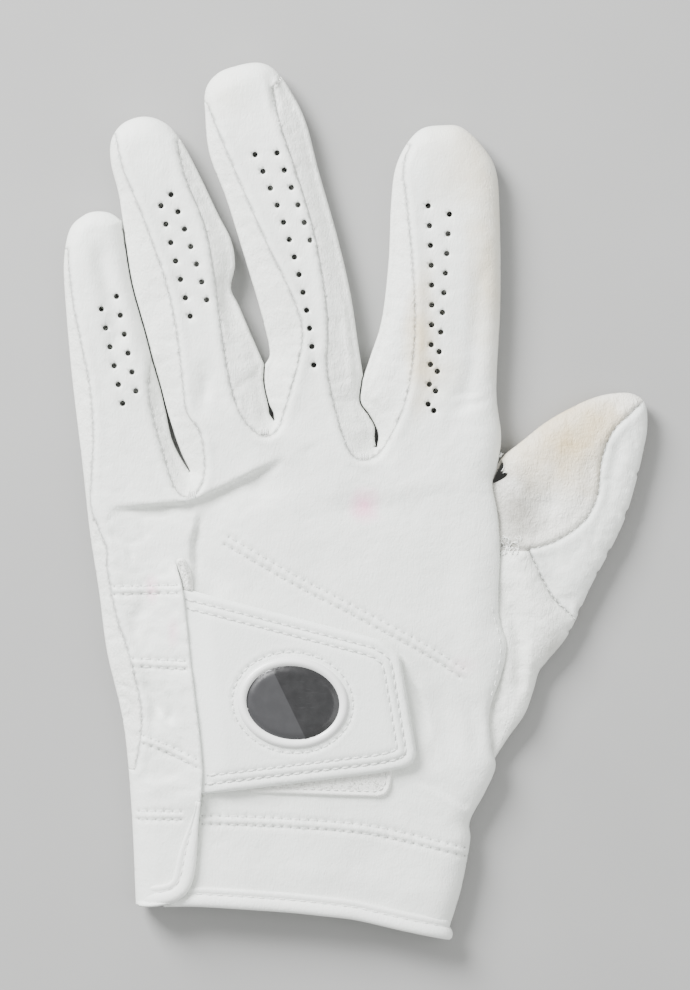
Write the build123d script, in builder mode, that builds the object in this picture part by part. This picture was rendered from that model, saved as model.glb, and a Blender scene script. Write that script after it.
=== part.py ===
"""Left-hand golf glove, lying palm down with the back of the hand up.

The hand is a thin leather shell, cut into the panels that the real glove is sewn from: a palm
panel that wraps round the little-finger side and the heel of the thumb, a back panel, a gusset
(fourchette) between each pair of fingers and two thumb panels. The back panel is slit down to
the cuff, and a closure tab, hinged on the edge of the slit, laps over it.

Frame: X towards the thumb, Y towards the fingertips, Z up towards the back of the hand.
The origin is on the surface that the glove lies on, below the middle of its outline.
"""
from build123d import *
import os

# ---------------------------------------------------------------- driving dimensions (mm)
LEATHER = 0.8  # one ply of leather
HAND_HEIGHT = 9.0  # surface to the top of the back panel
THUMB_HEIGHT = 7.5
TOP_ROUND = 3.0  # rounding along the upper edge of the hand and thumb
BOTTOM_ROUND = 2.4
THUMB_ROUND = 1.9  # both edges of the thumb
CUFF_START = -100.0  # edges of the outline below this belong to the open cuff
BACK_SPLIT = 5.0  # height of the fold between palm panel and back panel
FOURCHETTE_SPLIT = 2.5  # height of the seam between palm panel and fourchettes
THUMB_SPLIT = 3.8
OVERSHOOT = 20.0  # how far cutting regions run past the leather

BINDING_WIDTH = 4.0
BINDING_THICKNESS = 1.7
FLAP_BINDING_WIDTH = 3.0
FLAP_BINDING_PROUD = 0.3

STRIP_RISE = 2.8  # how far the slit's free edge stands up over the tab root
SLIT_GAP = 0.6
HINGE_TOP = (-43.4, -21.0)  # the tab folds along this straight edge
HINGE_BOTTOM = (-38.1, -73.0)
HINGE_GAP = 0.35
TAB_TOP_GAP = 0.6  # the tab's root starts this far below the top of the hinge
UNDERLAP = 4.0  # how far the back panel carries on under the strip
UNDERLAP_JOIN = 2.0  # where it joins the rest of the back, right of the hinge
TAB_ELASTIC_LEFT = 2.6
TAB_ELASTIC_RIGHT = 2.0

ELASTIC = 0.7
WRIST_ELASTIC_WIDTH = 6.0
BACK_ELASTIC_WIDTH = 6.0
PATCH = 0.6  # loop patch and slit reinforcement
HOOK = 0.5
TOUCH_GAP = 0.3  # between the closed tab and the loop patch
TAB_LINING = 0.6
TAB_OUTER = HAND_HEIGHT + STRIP_RISE - (HAND_HEIGHT + PATCH + TOUCH_GAP + HOOK + TAB_LINING)

BADGE_LENGTH = 27.0
BADGE_WIDTH = 22.0
BADGE_RIM = 1.8
BADGE_RIM_HEIGHT = 0.8
BADGE_INSERT_HEIGHT = 0.45
BADGE_CENTRE = (-15.6, -50.3)
BADGE_TURN = -6.0  # degrees
BADGE_SEAM = 1.7  # gap from the badge to the outer side of the stitching round it
TAB_ROW_INSETS = (2.0, 4.3)  # the tab's two rows of stitching, inside its edge

THREAD_WIDTH = 0.5
THREAD_HEIGHT = 0.25
ROW_SPACING = 2.1  # between the two rows of a double seam

# ---------------------------------------------------------------- outlines, (x, y, corner radius)
ULNAR_EDGE = [
    (-55.4, -101.5, 0.0),
    (-56.4, -77.0, 20.0),
    (-58.6, -55.0, 20.0),
    (-63.2, -29.0, 20.0),
    (-66.8, -10.0, 20.0),
    (-71.2, 31.0, 20.0),
    (-73.3, 58.0, 10.0),
]
LITTLE_FINGER = [
    (-73.2, 73.0, 6.6),
    (-59.0, 73.0, 5.5),
    (-51.9, 38.0, 15.0),
    (-46.2, 16.5, 10.0),
    (-42.6, 7.0, 0.3),
]
RING_FINGER = [
    (-41.9, 7.2, 0.3),
    (-45.3, 16.8, 10.0),
    (-51.0, 38.3, 15.0),
    (-62.8, 90.5, 5.0),
    (-57.5, 98.0, 6.5),
    (-46.2, 97.0, 6.0),
    (-36.0, 76.0, 15.0),
    (-29.6, 61.0, 6.0),
    (-31.6, 52.5, 5.0),
    (-24.0, 34.5, 10.0),
    (-23.0, 18.0, 0.3),
]
MIDDLE_FINGER = [
    (-22.2, 18.0, 0.3),
    (-21.9, 36.0, 6.0),
    (-28.5, 63.5, 15.0),
    (-37.4, 88.0, 10.0),
    (-38.6, 108.0, 7.5),
    (-22.6, 110.85, 7.5),
    (-13.0, 97.0, 12.0),
    (-2.0, 56.0, 20.0),
    (1.6, 31.0, 20.0),
    (1.5, 12.5, 0.3),
]
INDEX_FINGER = [
    (2.3, 12.5, 0.3),
    (2.6, 32.0, 10.0),
    (8.4, 58.0, 20.0),
    (9.2, 80.0, 15.0),
    (13.8, 94.2, 6.5),
    (29.3, 94.8, 7.0),
    (36.2, 82.5, 8.0),
    (36.3, 38.0, 20.0),
    (35.4, 28.0, 10.0),
    (36.8, 15.5, 8.0),
]
RADIAL_EDGE = [
    (34.2, 4.0, 6.0),
    (36.2, -9.0, 10.0),
    (36.0, -27.0, 10.0),
    (38.4, -38.0, 8.0),
    (33.5, -54.0, 8.0),
    (35.4, -67.0, 4.0),
    (28.6, -80.5, 3.0),
    (28.7, -87.0, 8.0),
    (26.4, -98.5, 10.0),
    (22.6, -110.0, 0.0),
]
CUFF_EDGE = [
    (12.0, -107.6, 15.0),
    (-7.6, -103.9, 20.0),
    (-40.9, -102.0, 20.0),
]
ABOVE_CUFF = ULNAR_EDGE[1:] + LITTLE_FINGER + RING_FINGER + MIDDLE_FINGER + INDEX_FINGER + RADIAL_EDGE[:-1]
HAND = ULNAR_EDGE[:1] + ABOVE_CUFF + RADIAL_EDGE[-1:] + CUFF_EDGE
HAND_PAST_CUFF = [(-54.4, -126.0, 0.0)] + ABOVE_CUFF + [(17.3, -126.0, 0.0)]

THUMB = [
    (28.0, 1.0, 2.0),
    (37.3, 11.3, 8.0),
    (47.0, 19.4, 15.0),
    (59.0, 26.6, 12.0),
    (73.2, 28.4, 5.5),
    (73.3, 16.0, 12.0),
    (70.4, 4.0, 20.0),
    (66.0, -9.0, 20.0),
    (53.3, -35.0, 20.0),
    (46.2, -42.5, 6.0),
    (44.6, -49.0, 6.0),
    (38.2, -60.0, 8.0),
    (33.6, -65.5, 2.0),
    (28.0, -58.0, 2.0),
]

TAB_ROOT_TOP = (HINGE_TOP[0] + HINGE_GAP, HINGE_TOP[1] - TAB_TOP_GAP)
TAB_ROOT_BOTTOM = (HINGE_BOTTOM[0] + HINGE_GAP, HINGE_BOTTOM[1])
TAB = [
    (*TAB_ROOT_TOP, 0.0),
    (6.4, -35.0, 10.0),
    (10.9, -38.8, 3.5),
    (15.3, -65.6, 4.0),
    (6.0, -67.6, 15.0),
    (*TAB_ROOT_BOTTOM, 0.0),
]
LOOP_PATCH = [
    (-27.0, -41.5, 2.0),
    (6.0, -45.0, 3.0),
    (9.4, -66.0, 10.0),
    (8.6, -74.2, 4.0),
    (-27.0, -72.9, 2.0),
]
REINFORCEMENT = [(-43.0, -14.5, 1.0), (-39.6, -14.5, 1.0), (-39.2, -20.6, 1.0), (-42.6, -20.6, 1.0)]
HOOK_PATCH = [(-11.0, -37.0, 2.0), (7.2, -41.6, 3.0), (11.4, -62.6, 3.0), (-9.0, -66.0, 2.0)]

# ---------------------------------------------------------------- seam lines, (x, y)
ULNAR_SEAM = [
    (-55.2, -67.0),
    (-53.6, -55.0),
    (-56.6, -38.0),
    (-62.0, -17.0),
    (-66.1, -2.0),
    (-65.6, 19.0),
    (-70.2, 45.5),
    (-72.2, 65.0),
]
LITTLE_RIGHT_SEAM = [(-61.5, 71.0), (-52.0, 36.0), (-51.2, 23.3), (-46.6, 7.5)]
RING_LEFT_SEAM = [(-38.4, 4.0), (-38.6, 16.4), (-42.8, 25.0), (-44.4, 40.0), (-47.9, 56.5), (-60.3, 92.3)]
RING_RIGHT_SEAM = [(-46.0, 93.0), (-43.2, 82.0), (-35.0, 58.0), (-33.2, 46.0), (-31.4, 30.5), (-27.9, 20.7)]
MIDDLE_LEFT_SEAM = [
    (-17.6, 22.5),
    (-14.3, 34.8),
    (-13.2, 42.4),
    (-15.7, 51.0),
    (-29.5, 81.3),
    (-37.2, 103.0),
]
MIDDLE_RIGHT_SEAM = [(-21.3, 107.0), (-18.9, 94.4), (-14.9, 82.9), (-6.5, 44.8), (-6.9, 32.6), (-3.5, 18.3)]
INDEX_LEFT_SEAM = [(8.0, 14.8), (12.0, 22.8), (14.8, 41.5), (14.3, 60.4), (12.0, 79.9), (13.6, 91.0)]
# Bottom of the U that each fourchette's seam makes between two fingers.
CROTCHES = {
    "ring_little": [(-44.9, 2.9), (-42.0, 1.2)],
    "middle_ring": [(-24.6, 16.8), (-20.4, 17.0)],
    "index_middle": [(-0.4, 11.4), (4.6, 10.6)],
}
FOURCHETTES = {
    "ring_little": LITTLE_RIGHT_SEAM + CROTCHES["ring_little"] + RING_LEFT_SEAM,
    "middle_ring": RING_RIGHT_SEAM + CROTCHES["middle_ring"] + MIDDLE_LEFT_SEAM,
    "index_middle": MIDDLE_RIGHT_SEAM + CROTCHES["index_middle"] + INDEX_LEFT_SEAM,
}
THUMB_SEAM = [
    (71.8, 25.0),
    (65.6, 18.5),
    (62.0, 10.3),
    (60.6, 1.0),
    (55.6, -6.8),
    (46.9, -11.2),
    (42.0, -12.3),
]
THUMB_BASE_SEAM = [(42.0, -12.3), (46.9, -19.4), (50.2, -24.9), (56.0, -30.0)]
# Plan areas that the thumb seams divide: palm leather at the heel, and the thumb's outer panel.
HEEL_AREA = [(20.0, -12.3)] + THUMB_BASE_SEAM + [(70.0, -45.0), (45.0, -75.0), (20.0, -75.0)]
THUMB_BACK_AREA = THUMB_SEAM + THUMB_BASE_SEAM[1:] + [(85.0, -30.0), (85.0, 35.0)]

CUFF_ROW = [(-38.0, -78.8), (-15.9, -79.4), (-0.7, -80.7), (12.5, -83.1), (27.1, -86.7)]
DIAGONAL_ROW = [(-31.7, -9.0), (-14.6, -18.9), (8.8, -31.1), (27.0, -41.5)]
STRIP_ROWS = [
    [(-60.0, -21.8), (-44.6, -21.6)],
    [(-55.4, -40.0), (-42.4, -40.6)],
    [(-53.0, -58.7), (-40.4, -64.4)],
    [(-52.5, -77.6), (-43.5, -77.6)],
]
BINDING_ROW_INSET = 1.3
BAR_TACKS = [(-42.6, 2.2), (-22.6, 14.8), (2.0, 8.0)]  # lower end of each
BAR_TACK = 1.8
PATCH_ROWS = [[(-24.0, -71.2), (5.0, -72.2)]]

# Stations of the strip between the ulnar edge and the slit: (y, left x, slit edge x, rise).
STRIP_STATIONS = [
    (-13.0, -53.0, -43.4, 0.0),
    (HINGE_TOP[1], -53.0, HINGE_TOP[0], STRIP_RISE),
    (HINGE_BOTTOM[1], -49.5, HINGE_BOTTOM[0], STRIP_RISE),
    (-86.0, -49.5, -40.0, 0.0),
    (-104.0, -49.5, -42.2, 0.0),
]


# ---------------------------------------------------------------- helpers
def rounded(corners):
    """Closed line through corners given as (x, y, corner radius)."""
    points = [(x, y) for x, y, _ in corners]
    FilletPolyline(*points, radius=[radius for _, _, radius in corners], close=True)


def slab(corners, low, high, inset=0.0):
    """Upright solid on a rounded outline, shrunk all round by inset."""
    with BuildPart() as solid:
        with BuildSketch(Plane.XY.offset(low)):
            with BuildLine():
                rounded(corners)
            make_face()
            if inset:
                offset(amount=-inset, kind=Kind.INTERSECTION)
        extrude(amount=high - low)
    return solid.part


def prism(points, low, high):
    """Upright solid on a sharp-cornered outline."""
    return slab([(x, y, 0.0) for x, y in points], low, high)


def beside(points, dx, dy):
    """The same line moved sideways."""
    return [(x + dx, y + dy) for x, y in points]


def threads(rows, level, keep_within=None):
    """Raised rows of thread on a level surface, one closed solid for each row."""
    with BuildPart() as rows_solid:
        for row in rows:
            with BuildSketch(Plane.XY.offset(level)):
                with BuildLine():
                    Polyline(*row)
                trace(line_width=THREAD_WIDTH)
            extrude(amount=THREAD_HEIGHT)
        if keep_within is not None:
            add(keep_within, mode=Mode.INTERSECT)
    return rows_solid.part


def strip_ply(low, high):
    """Layer that follows the strip as it rises to the slit's free edge."""
    with BuildPart() as ply:
        for y, left, edge, rise in STRIP_STATIONS:
            with BuildSketch(Plane.XZ.offset(-y)):
                with BuildLine():
                    Polyline(
                        (left, low),
                        (edge, low + rise),
                        (edge, high + rise),
                        (left, high),
                        close=True,
                    )
                make_face()
        loft(ruled=True)
    return ply.part


def save(solid, name):
    """Label one finished sub-part and write it."""
    solid.label = name
    export_step(solid, f"parts/{name}.step")


os.makedirs("parts", exist_ok=True)
ABOVE = HAND_HEIGHT + OVERSHOOT

# Where the back panel carries on under the strip, and the strip's bound free edge.
def beside_hinge(left, right, end_gap):
    """Plan area along the tab's hinge line, stopping short of both its ends."""
    top = HINGE_TOP[1] - end_gap
    bottom = HINGE_BOTTOM[1] + end_gap
    return [
        (HINGE_TOP[0] - left, top),
        (HINGE_TOP[0] + right, top),
        (HINGE_BOTTOM[0] + right, bottom),
        (HINGE_BOTTOM[0] - left, bottom),
    ]


UNDERLAP_AREA = beside_hinge(UNDERLAP, UNDERLAP_JOIN, 3.0)
TAB_ELASTIC_AREA = beside_hinge(TAB_ELASTIC_LEFT, TAB_ELASTIC_RIGHT, 2.0)
FLAP_EDGE = [(edge, y) for y, _, edge, _ in STRIP_STATIONS[2:]]
FLAP_EDGE_AREA = beside(FLAP_EDGE, -FLAP_BINDING_WIDTH, -1.0) + beside(FLAP_EDGE[::-1], 1.0, -1.0)

# ---------------------------------------------------------------- hand and thumb as hollow forms

with BuildPart() as hand_outer:
    add(slab(HAND, 0.0, HAND_HEIGHT))
    for face_index, radius in ((-1, TOP_ROUND), (0, BOTTOM_ROUND)):
        rim = hand_outer.faces().sort_by(Axis.Z)[face_index].edges()
        fillet(rim.filter_by(lambda edge: edge.center().Y > CUFF_START), radius)

with BuildPart() as hand_cavity:
    add(slab(HAND_PAST_CUFF, LEATHER, HAND_HEIGHT - LEATHER, inset=LEATHER))
    fillet(hand_cavity.faces().sort_by(Axis.Z)[-1].edges(), TOP_ROUND - LEATHER)
    fillet(hand_cavity.faces().sort_by(Axis.Z)[0].edges(), BOTTOM_ROUND - LEATHER)

with BuildPart() as thumb_outer:
    add(slab(THUMB, 0.0, THUMB_HEIGHT))
    fillet(thumb_outer.faces().sort_by(Axis.Z)[-1].edges(), THUMB_ROUND)
    fillet(thumb_outer.faces().sort_by(Axis.Z)[0].edges(), THUMB_ROUND)

with BuildPart() as thumb_cavity:
    add(slab(THUMB, LEATHER, THUMB_HEIGHT - LEATHER, inset=LEATHER))

# The open space that a hand fills.
with BuildPart() as hollow:
    add(hand_cavity.part)
    add(thumb_cavity.part)

with BuildPart() as hand_shell:
    add(hand_outer.part)
    add(hollow.part, mode=Mode.SUBTRACT)

with BuildPart() as thumb_shell:
    add(thumb_outer.part)
    add(hand_outer.part, mode=Mode.SUBTRACT)
    add(hollow.part, mode=Mode.SUBTRACT)

# The cuff's last few millimetres are wrapped in a binding.
CUFF_LINE = [(x, y) for x, y, _ in reversed(CUFF_EDGE)]
BAND_LEFT = -70.0  # the cutting region runs past the leather on both sides and below
BAND_RIGHT = 40.0
BAND_BOTTOM = -140.0
BAND = beside([(BAND_LEFT, -101.0)] + CUFF_LINE + [(BAND_RIGHT, -114.0)], 0.0, BINDING_WIDTH)
cuff_band = prism(BAND + [(BAND_RIGHT, BAND_BOTTOM), (BAND_LEFT, BAND_BOTTOM)], -OVERSHOOT, ABOVE)

# The flat window in the back of the hand that the raised strip fills.
WINDOW = [(left, y) for y, left, _, _ in STRIP_STATIONS]
WINDOW += [(edge + SLIT_GAP, y) for y, _, edge, _ in reversed(STRIP_STATIONS[1:])]
WINDOW += [(STRIP_STATIONS[0][2], STRIP_STATIONS[0][0])]
window = prism(WINDOW, BACK_SPLIT, ABOVE)
SLIT_EDGE = [(edge, y) for y, _, edge, _ in STRIP_STATIONS]
slit_cut = prism(SLIT_EDGE + beside(SLIT_EDGE[:0:-1], SLIT_GAP, 0.0), BACK_SPLIT, ABOVE)

gussets = {name: prism(line, FOURCHETTE_SPLIT, ABOVE) for name, line in FOURCHETTES.items()}
ulnar_wrap = prism(beside([ULNAR_SEAM[-1], ULNAR_SEAM[0]], -OVERSHOOT, 0.0) + ULNAR_SEAM, BACK_SPLIT, ABOVE)
thumb_heel = prism(HEEL_AREA, -1.0, ABOVE)
thumb_back = prism(THUMB_BACK_AREA, THUMB_SPLIT, ABOVE)
with BuildPart() as flap_edge_block:
    add(strip_ply(HAND_HEIGHT - LEATHER - FLAP_BINDING_PROUD, HAND_HEIGHT + FLAP_BINDING_PROUD))
    add(prism(FLAP_EDGE_AREA, BACK_SPLIT, ABOVE), mode=Mode.INTERSECT)
flap_edge = flap_edge_block.part


# ---------------------------------------------------------------- leather panels of the hand
with BuildPart() as back_panel:
    add(hand_shell.part)
    split(bisect_by=Plane.XY.offset(BACK_SPLIT), keep=Keep.TOP)
    for gusset in gussets.values():
        add(gusset, mode=Mode.SUBTRACT)
    add(ulnar_wrap, mode=Mode.SUBTRACT)
    add(window, mode=Mode.SUBTRACT)
    add(strip_ply(HAND_HEIGHT - LEATHER, HAND_HEIGHT))
    add(prism(UNDERLAP_AREA, HAND_HEIGHT - LEATHER, HAND_HEIGHT))
    add(cuff_band, mode=Mode.SUBTRACT)
    add(flap_edge, mode=Mode.SUBTRACT)
save(back_panel.part, "back_panel")

for name, gusset in gussets.items():
    with BuildPart() as fourchette:
        add(hand_shell.part)
        add(gusset, mode=Mode.INTERSECT)
    save(fourchette.part, f"fourchette_{name}")

with BuildPart() as ulnar_side:
    add(hand_shell.part)
    add(ulnar_wrap, mode=Mode.INTERSECT)

with BuildPart() as heel_of_thumb:
    add(thumb_shell.part)
    add(thumb_heel, mode=Mode.INTERSECT)

with BuildPart() as palm_panel:
    add(hand_shell.part)
    split(bisect_by=Plane.XY.offset(BACK_SPLIT), keep=Keep.BOTTOM)
    for gusset in gussets.values():
        add(gusset, mode=Mode.SUBTRACT)
    add(ulnar_side.part)
    add(heel_of_thumb.part)
    add(cuff_band, mode=Mode.SUBTRACT)
save(palm_panel.part, "palm_panel")

# ---------------------------------------------------------------- leather panels of the thumb
with BuildPart() as thumb_back_panel:
    add(thumb_shell.part)
    add(thumb_back, mode=Mode.INTERSECT)
save(thumb_back_panel.part, "thumb_back_panel")

with BuildPart() as thumb_front_panel:
    add(thumb_shell.part)
    add(thumb_heel, mode=Mode.SUBTRACT)
    add(thumb_back, mode=Mode.SUBTRACT)
save(thumb_front_panel.part, "thumb_front_panel")

# ---------------------------------------------------------------- bindings
with BuildPart() as cuff_binding:
    add(hand_outer.part)
    add(cuff_band, mode=Mode.INTERSECT)
    add(
        slab(HAND_PAST_CUFF, BINDING_THICKNESS, HAND_HEIGHT - BINDING_THICKNESS, inset=BINDING_THICKNESS),
        mode=Mode.SUBTRACT,
    )
    add(slit_cut, mode=Mode.SUBTRACT)
save(cuff_binding.part, "cuff_binding")

with BuildPart() as flap_binding:
    add(flap_edge)
    add(cuff_band, mode=Mode.SUBTRACT)
save(flap_binding.part, "flap_binding")

# ---------------------------------------------------------------- elastics inside the back
LINING_TOP = HAND_HEIGHT - LEATHER
LINING_LOW = LINING_TOP - ELASTIC


def gathered_band(row, width, low, high):
    """Flat elastic band centred a little below a seam row."""
    with BuildPart() as band:
        with BuildSketch(Plane.XY.offset(low)):
            with BuildLine():
                Polyline(*beside(row, 0.0, -ROW_SPACING / 2))
            trace(line_width=width)
        extrude(amount=high - low)
        add(hand_cavity.part, mode=Mode.INTERSECT)
    return band.part


save(gathered_band(CUFF_ROW, WRIST_ELASTIC_WIDTH, LINING_LOW, LINING_TOP), "wrist_elastic")
save(gathered_band(DIAGONAL_ROW, BACK_ELASTIC_WIDTH, LINING_LOW, LINING_TOP), "back_elastic")

# Elastic that ties the tab root to the back panel, hidden under the strip.
tab_elastic = prism(TAB_ELASTIC_AREA, HAND_HEIGHT, HAND_HEIGHT + ELASTIC)
save(tab_elastic, "tab_elastic")

# ---------------------------------------------------------------- closure patches on the back
LOOP_TOP = HAND_HEIGHT + PATCH
save(slab(LOOP_PATCH, HAND_HEIGHT, LOOP_TOP), "loop_patch")
save(slab(REINFORCEMENT, HAND_HEIGHT, LOOP_TOP), "slit_reinforcement")

# ---------------------------------------------------------------- closure tab and badge
HOOK_LOW = LOOP_TOP + TOUCH_GAP
LINING_PLY_LOW = HOOK_LOW + HOOK
OUTER_PLY_LOW = LINING_PLY_LOW + TAB_LINING
TAB_TOP = OUTER_PLY_LOW + TAB_OUTER
save(slab(HOOK_PATCH, HOOK_LOW, LINING_PLY_LOW), "hook_patch")
save(slab(TAB, LINING_PLY_LOW, OUTER_PLY_LOW), "tab_lining")
save(slab(TAB, OUTER_PLY_LOW, TAB_TOP), "tab_outer")


def badge_ring(outer_grow, inner_grow, height):
    """Oval on top of the tab, larger than the badge by outer_grow, with a hole or solid."""
    with BuildPart() as oval:
        with BuildSketch(BADGE_PLANE):
            Ellipse(BADGE_LENGTH / 2 + outer_grow, BADGE_WIDTH / 2 + outer_grow)
            if inner_grow is not None:
                Ellipse(BADGE_LENGTH / 2 + inner_grow, BADGE_WIDTH / 2 + inner_grow, mode=Mode.SUBTRACT)
        extrude(amount=height)
    return oval.part


BADGE_PLANE = Plane(origin=(*BADGE_CENTRE, TAB_TOP), x_dir=Vector(1, 0, 0).rotate(Axis.Z, BADGE_TURN))
save(badge_ring(0.0, -BADGE_RIM, BADGE_RIM_HEIGHT), "badge_rim")
save(badge_ring(-BADGE_RIM, None, BADGE_INSERT_HEIGHT), "badge_insert")
save(badge_ring(BADGE_SEAM, BADGE_SEAM - THREAD_WIDTH, THREAD_HEIGHT), "badge_stitching")

with BuildPart() as tab_stitching:
    for inset in TAB_ROW_INSETS:
        add(slab(TAB, TAB_TOP, TAB_TOP + THREAD_HEIGHT, inset=inset))
        add(slab(TAB, TAB_TOP, TAB_TOP + THREAD_HEIGHT, inset=inset + THREAD_WIDTH), mode=Mode.SUBTRACT)
save(tab_stitching.part, "tab_stitching")

# ---------------------------------------------------------------- thread
with BuildPart() as level_hand:
    add(slab(HAND_PAST_CUFF, HAND_HEIGHT, ABOVE, inset=TOP_ROUND))
    add(window, mode=Mode.SUBTRACT)

with BuildPart() as level_thumb:
    add(slab(THUMB, THUMB_HEIGHT, ABOVE, inset=THUMB_ROUND))
    add(slab(HAND, 0.0, ABOVE), mode=Mode.SUBTRACT)


def double_row(row, dx, dy):
    """A seam row and its twin."""
    return [row, beside(row, dx, dy)]


DIAGONAL_STEP = (-0.5 * ROW_SPACING, -0.85 * ROW_SPACING)
BINDING_ROW = beside(BAND, 0.0, -BINDING_ROW_INSET)
hand_threads = {
    "cuff_stitching": double_row(CUFF_ROW, 0.0, -ROW_SPACING),
    "back_stitching": double_row(DIAGONAL_ROW, *DIAGONAL_STEP),
    "binding_stitching": [BINDING_ROW],
    "finger_seam_stitching": [ULNAR_SEAM, *FOURCHETTES.values()],
    "crotch_stitching": [[(x, y), (x, y + BAR_TACK)] for x, y in BAR_TACKS],
}
for name, rows in hand_threads.items():
    save(threads(rows, HAND_HEIGHT, level_hand.part), name)
save(threads([THUMB_SEAM, THUMB_BASE_SEAM], THUMB_HEIGHT, level_thumb.part), "thumb_stitching")
save(threads(PATCH_ROWS, LOOP_TOP), "loop_patch_stitching")

STRIP_LEFT = [(left, y) for y, left, _, _ in STRIP_STATIONS]
with BuildPart() as strip_surface:
    add(strip_ply(HAND_HEIGHT, HAND_HEIGHT + THREAD_HEIGHT))
    beyond_strip = beside(STRIP_LEFT[::-1], -OVERSHOOT, 0.0)
    add(prism(STRIP_LEFT + beyond_strip, HAND_HEIGHT, HAND_HEIGHT + THREAD_HEIGHT))

with BuildPart() as strip_stitching:
    for strip_row in STRIP_ROWS:
        for row in double_row(strip_row, 0.0, -ROW_SPACING):
            with BuildSketch(Plane.XY.offset(HAND_HEIGHT)):
                with BuildLine():
                    Polyline(*row)
                trace(line_width=THREAD_WIDTH)
            extrude(amount=STRIP_RISE + LEATHER)
    add(strip_surface.part, mode=Mode.INTERSECT)
save(strip_stitching.part, "strip_stitching")
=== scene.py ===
"""Left-hand golf glove lying palm down: leather, stitching, tab and light, built around the CAD frame.

Plan positions in this file are millimetres in the frame's own axes: X to the thumb, Y to the
fingertips, Z up. Meshes are turned into metres as they are made.
"""
import math
import random

import bpy
import numpy as np
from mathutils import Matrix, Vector, noise
from mathutils.geometry import delaunay_2d_cdt


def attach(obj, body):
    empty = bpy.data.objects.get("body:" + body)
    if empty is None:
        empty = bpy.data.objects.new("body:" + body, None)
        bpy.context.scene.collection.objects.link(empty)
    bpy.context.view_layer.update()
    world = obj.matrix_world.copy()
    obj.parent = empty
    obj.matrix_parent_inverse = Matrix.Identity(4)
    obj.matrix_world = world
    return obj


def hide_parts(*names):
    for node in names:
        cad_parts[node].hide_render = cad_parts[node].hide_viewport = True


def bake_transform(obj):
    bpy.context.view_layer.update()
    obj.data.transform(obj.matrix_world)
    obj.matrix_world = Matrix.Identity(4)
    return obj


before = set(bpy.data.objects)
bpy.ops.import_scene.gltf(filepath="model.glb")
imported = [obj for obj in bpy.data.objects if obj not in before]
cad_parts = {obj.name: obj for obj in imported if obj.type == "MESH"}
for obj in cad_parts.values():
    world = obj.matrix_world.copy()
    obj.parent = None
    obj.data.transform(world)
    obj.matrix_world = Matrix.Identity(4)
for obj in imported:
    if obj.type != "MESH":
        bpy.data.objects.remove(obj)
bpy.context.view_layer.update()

# ---------------------------------------------------------------- driving sizes, millimetres
MM = 0.001
PLY = 0.7  # leather thickness
GRID = 0.85  # spacing of the leather's mesh
TOP = 8.5  # crown of the back of the hand
THUMB_TOP = 6.9
FOLD_LEVEL = 3.8  # height of the outline, where top and bottom meet
OVER_THUMB = 5.9  # height of the hand's edge where it lies over the thumb
EDGE_ROUND = 7.5  # how far in from the outline the crown is reached
PALM_ROUND = 5.0
SLIT_WIDTH = 0.25
STITCH_PITCH = 2.2
HOLE_RADIUS = 0.72
HOLE_SEARCH = 4.0  # no hole reaches further than this from its middle
RIM_ROWS = (0.12, 0.4, 0.9, 1.6)  # extra rows of mesh inside the outline
LINE_STEP = 0.9  # spacing of the points along a smooth line

# ---------------------------------------------------------------- plan lines of the hand
ULNAR_LINE = [
    (-55.1, -101.0), (-56.2, -77.0), (-58.2, -56.0), (-62.3, -38.0), (-64.3, -23.0), (-66.6, -8.0),
    (-68.6, 10.0), (-71.2, 32.0), (-72.9, 52.0), (-73.1, 61.0), (-71.6, 68.3), (-68.0, 71.8),
    (-64.7, 72.7), (-61.4, 72.2), (-58.6, 70.3),
]
LITTLE_CREASE = [
    (-58.5, 70.3), (-57.5, 63.0), (-55.9, 53.8), (-52.8, 42.8), (-50.9, 35.5), (-49.0, 29.0),
    (-47.4, 22.6), (-45.6, 15.8), (-43.5, 10.9), (-41.5, 7.4),
]
RING_LINE = [
    (-58.4, 70.6), (-59.5, 77.5), (-61.3, 84.5), (-61.3, 90.4), (-58.4, 94.7), (-53.0, 96.5), (-47.6, 94.8),
    (-43.6, 90.2), (-39.4, 82.4), (-34.4, 71.9), (-31.2, 65.5), (-30.2, 59.3), (-31.2, 53.4),
    (-29.2, 49.0), (-26.4, 42.4), (-23.0, 34.5),
]
RING_CREASE = [(-22.8, 34.4), (-22.9, 29.5), (-21.7, 24.0), (-20.4, 20.2)]
MIDDLE_LINE = [
    (-22.6, 34.3), (-21.5, 37.6), (-23.7, 47.3), (-27.0, 58.5), (-32.2, 75.2), (-36.6, 87.0), (-37.7, 97.0),
    (-37.6, 103.2), (-34.6, 107.3), (-29.5, 109.3), (-24.2, 110.0), (-20.2, 108.2), (-16.2, 102.9),
    (-12.4, 95.0), (-9.1, 82.4), (-4.7, 67.0), (-1.3, 52.5), (0.6, 40.0), (1.9, 31.5),
]
MIDDLE_CREASE = [(1.7, 30.5), (1.2, 25.0), (3.4, 21.6), (5.1, 18.2), (5.3, 13.6)]
INDEX_LINE = [
    (1.9, 30.8), (3.8, 36.4), (6.6, 45.6), (8.3, 60.0), (8.9, 74.0), (9.9, 82.9), (12.6, 89.2),
    (16.6, 93.4), (22.0, 94.3), (26.6, 93.8), (31.4, 89.6), (35.2, 83.2), (36.2, 72.0),
    (36.4, 50.0), (35.4, 28.0), (36.6, 16.5), (35.6, 8.7), (34.3, 4.2), (35.6, -3.0), (36.2, -12.0),
    (35.9, -27.7), (37.9, -36.0), (36.6, -43.5), (33.7, -52.5), (34.0, -61.0), (35.2, -66.6), (32.6, -73.0),
    (28.8, -80.2), (28.8, -85.5), (26.5, -97.5), (23.6, -107.0),
]
CUFF_LINE = [
    (22.6, -109.4), (11.1, -107.0), (-0.7, -104.2), (-15.6, -102.6), (-30.0, -101.6), (-40.6, -101.0),
]
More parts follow.
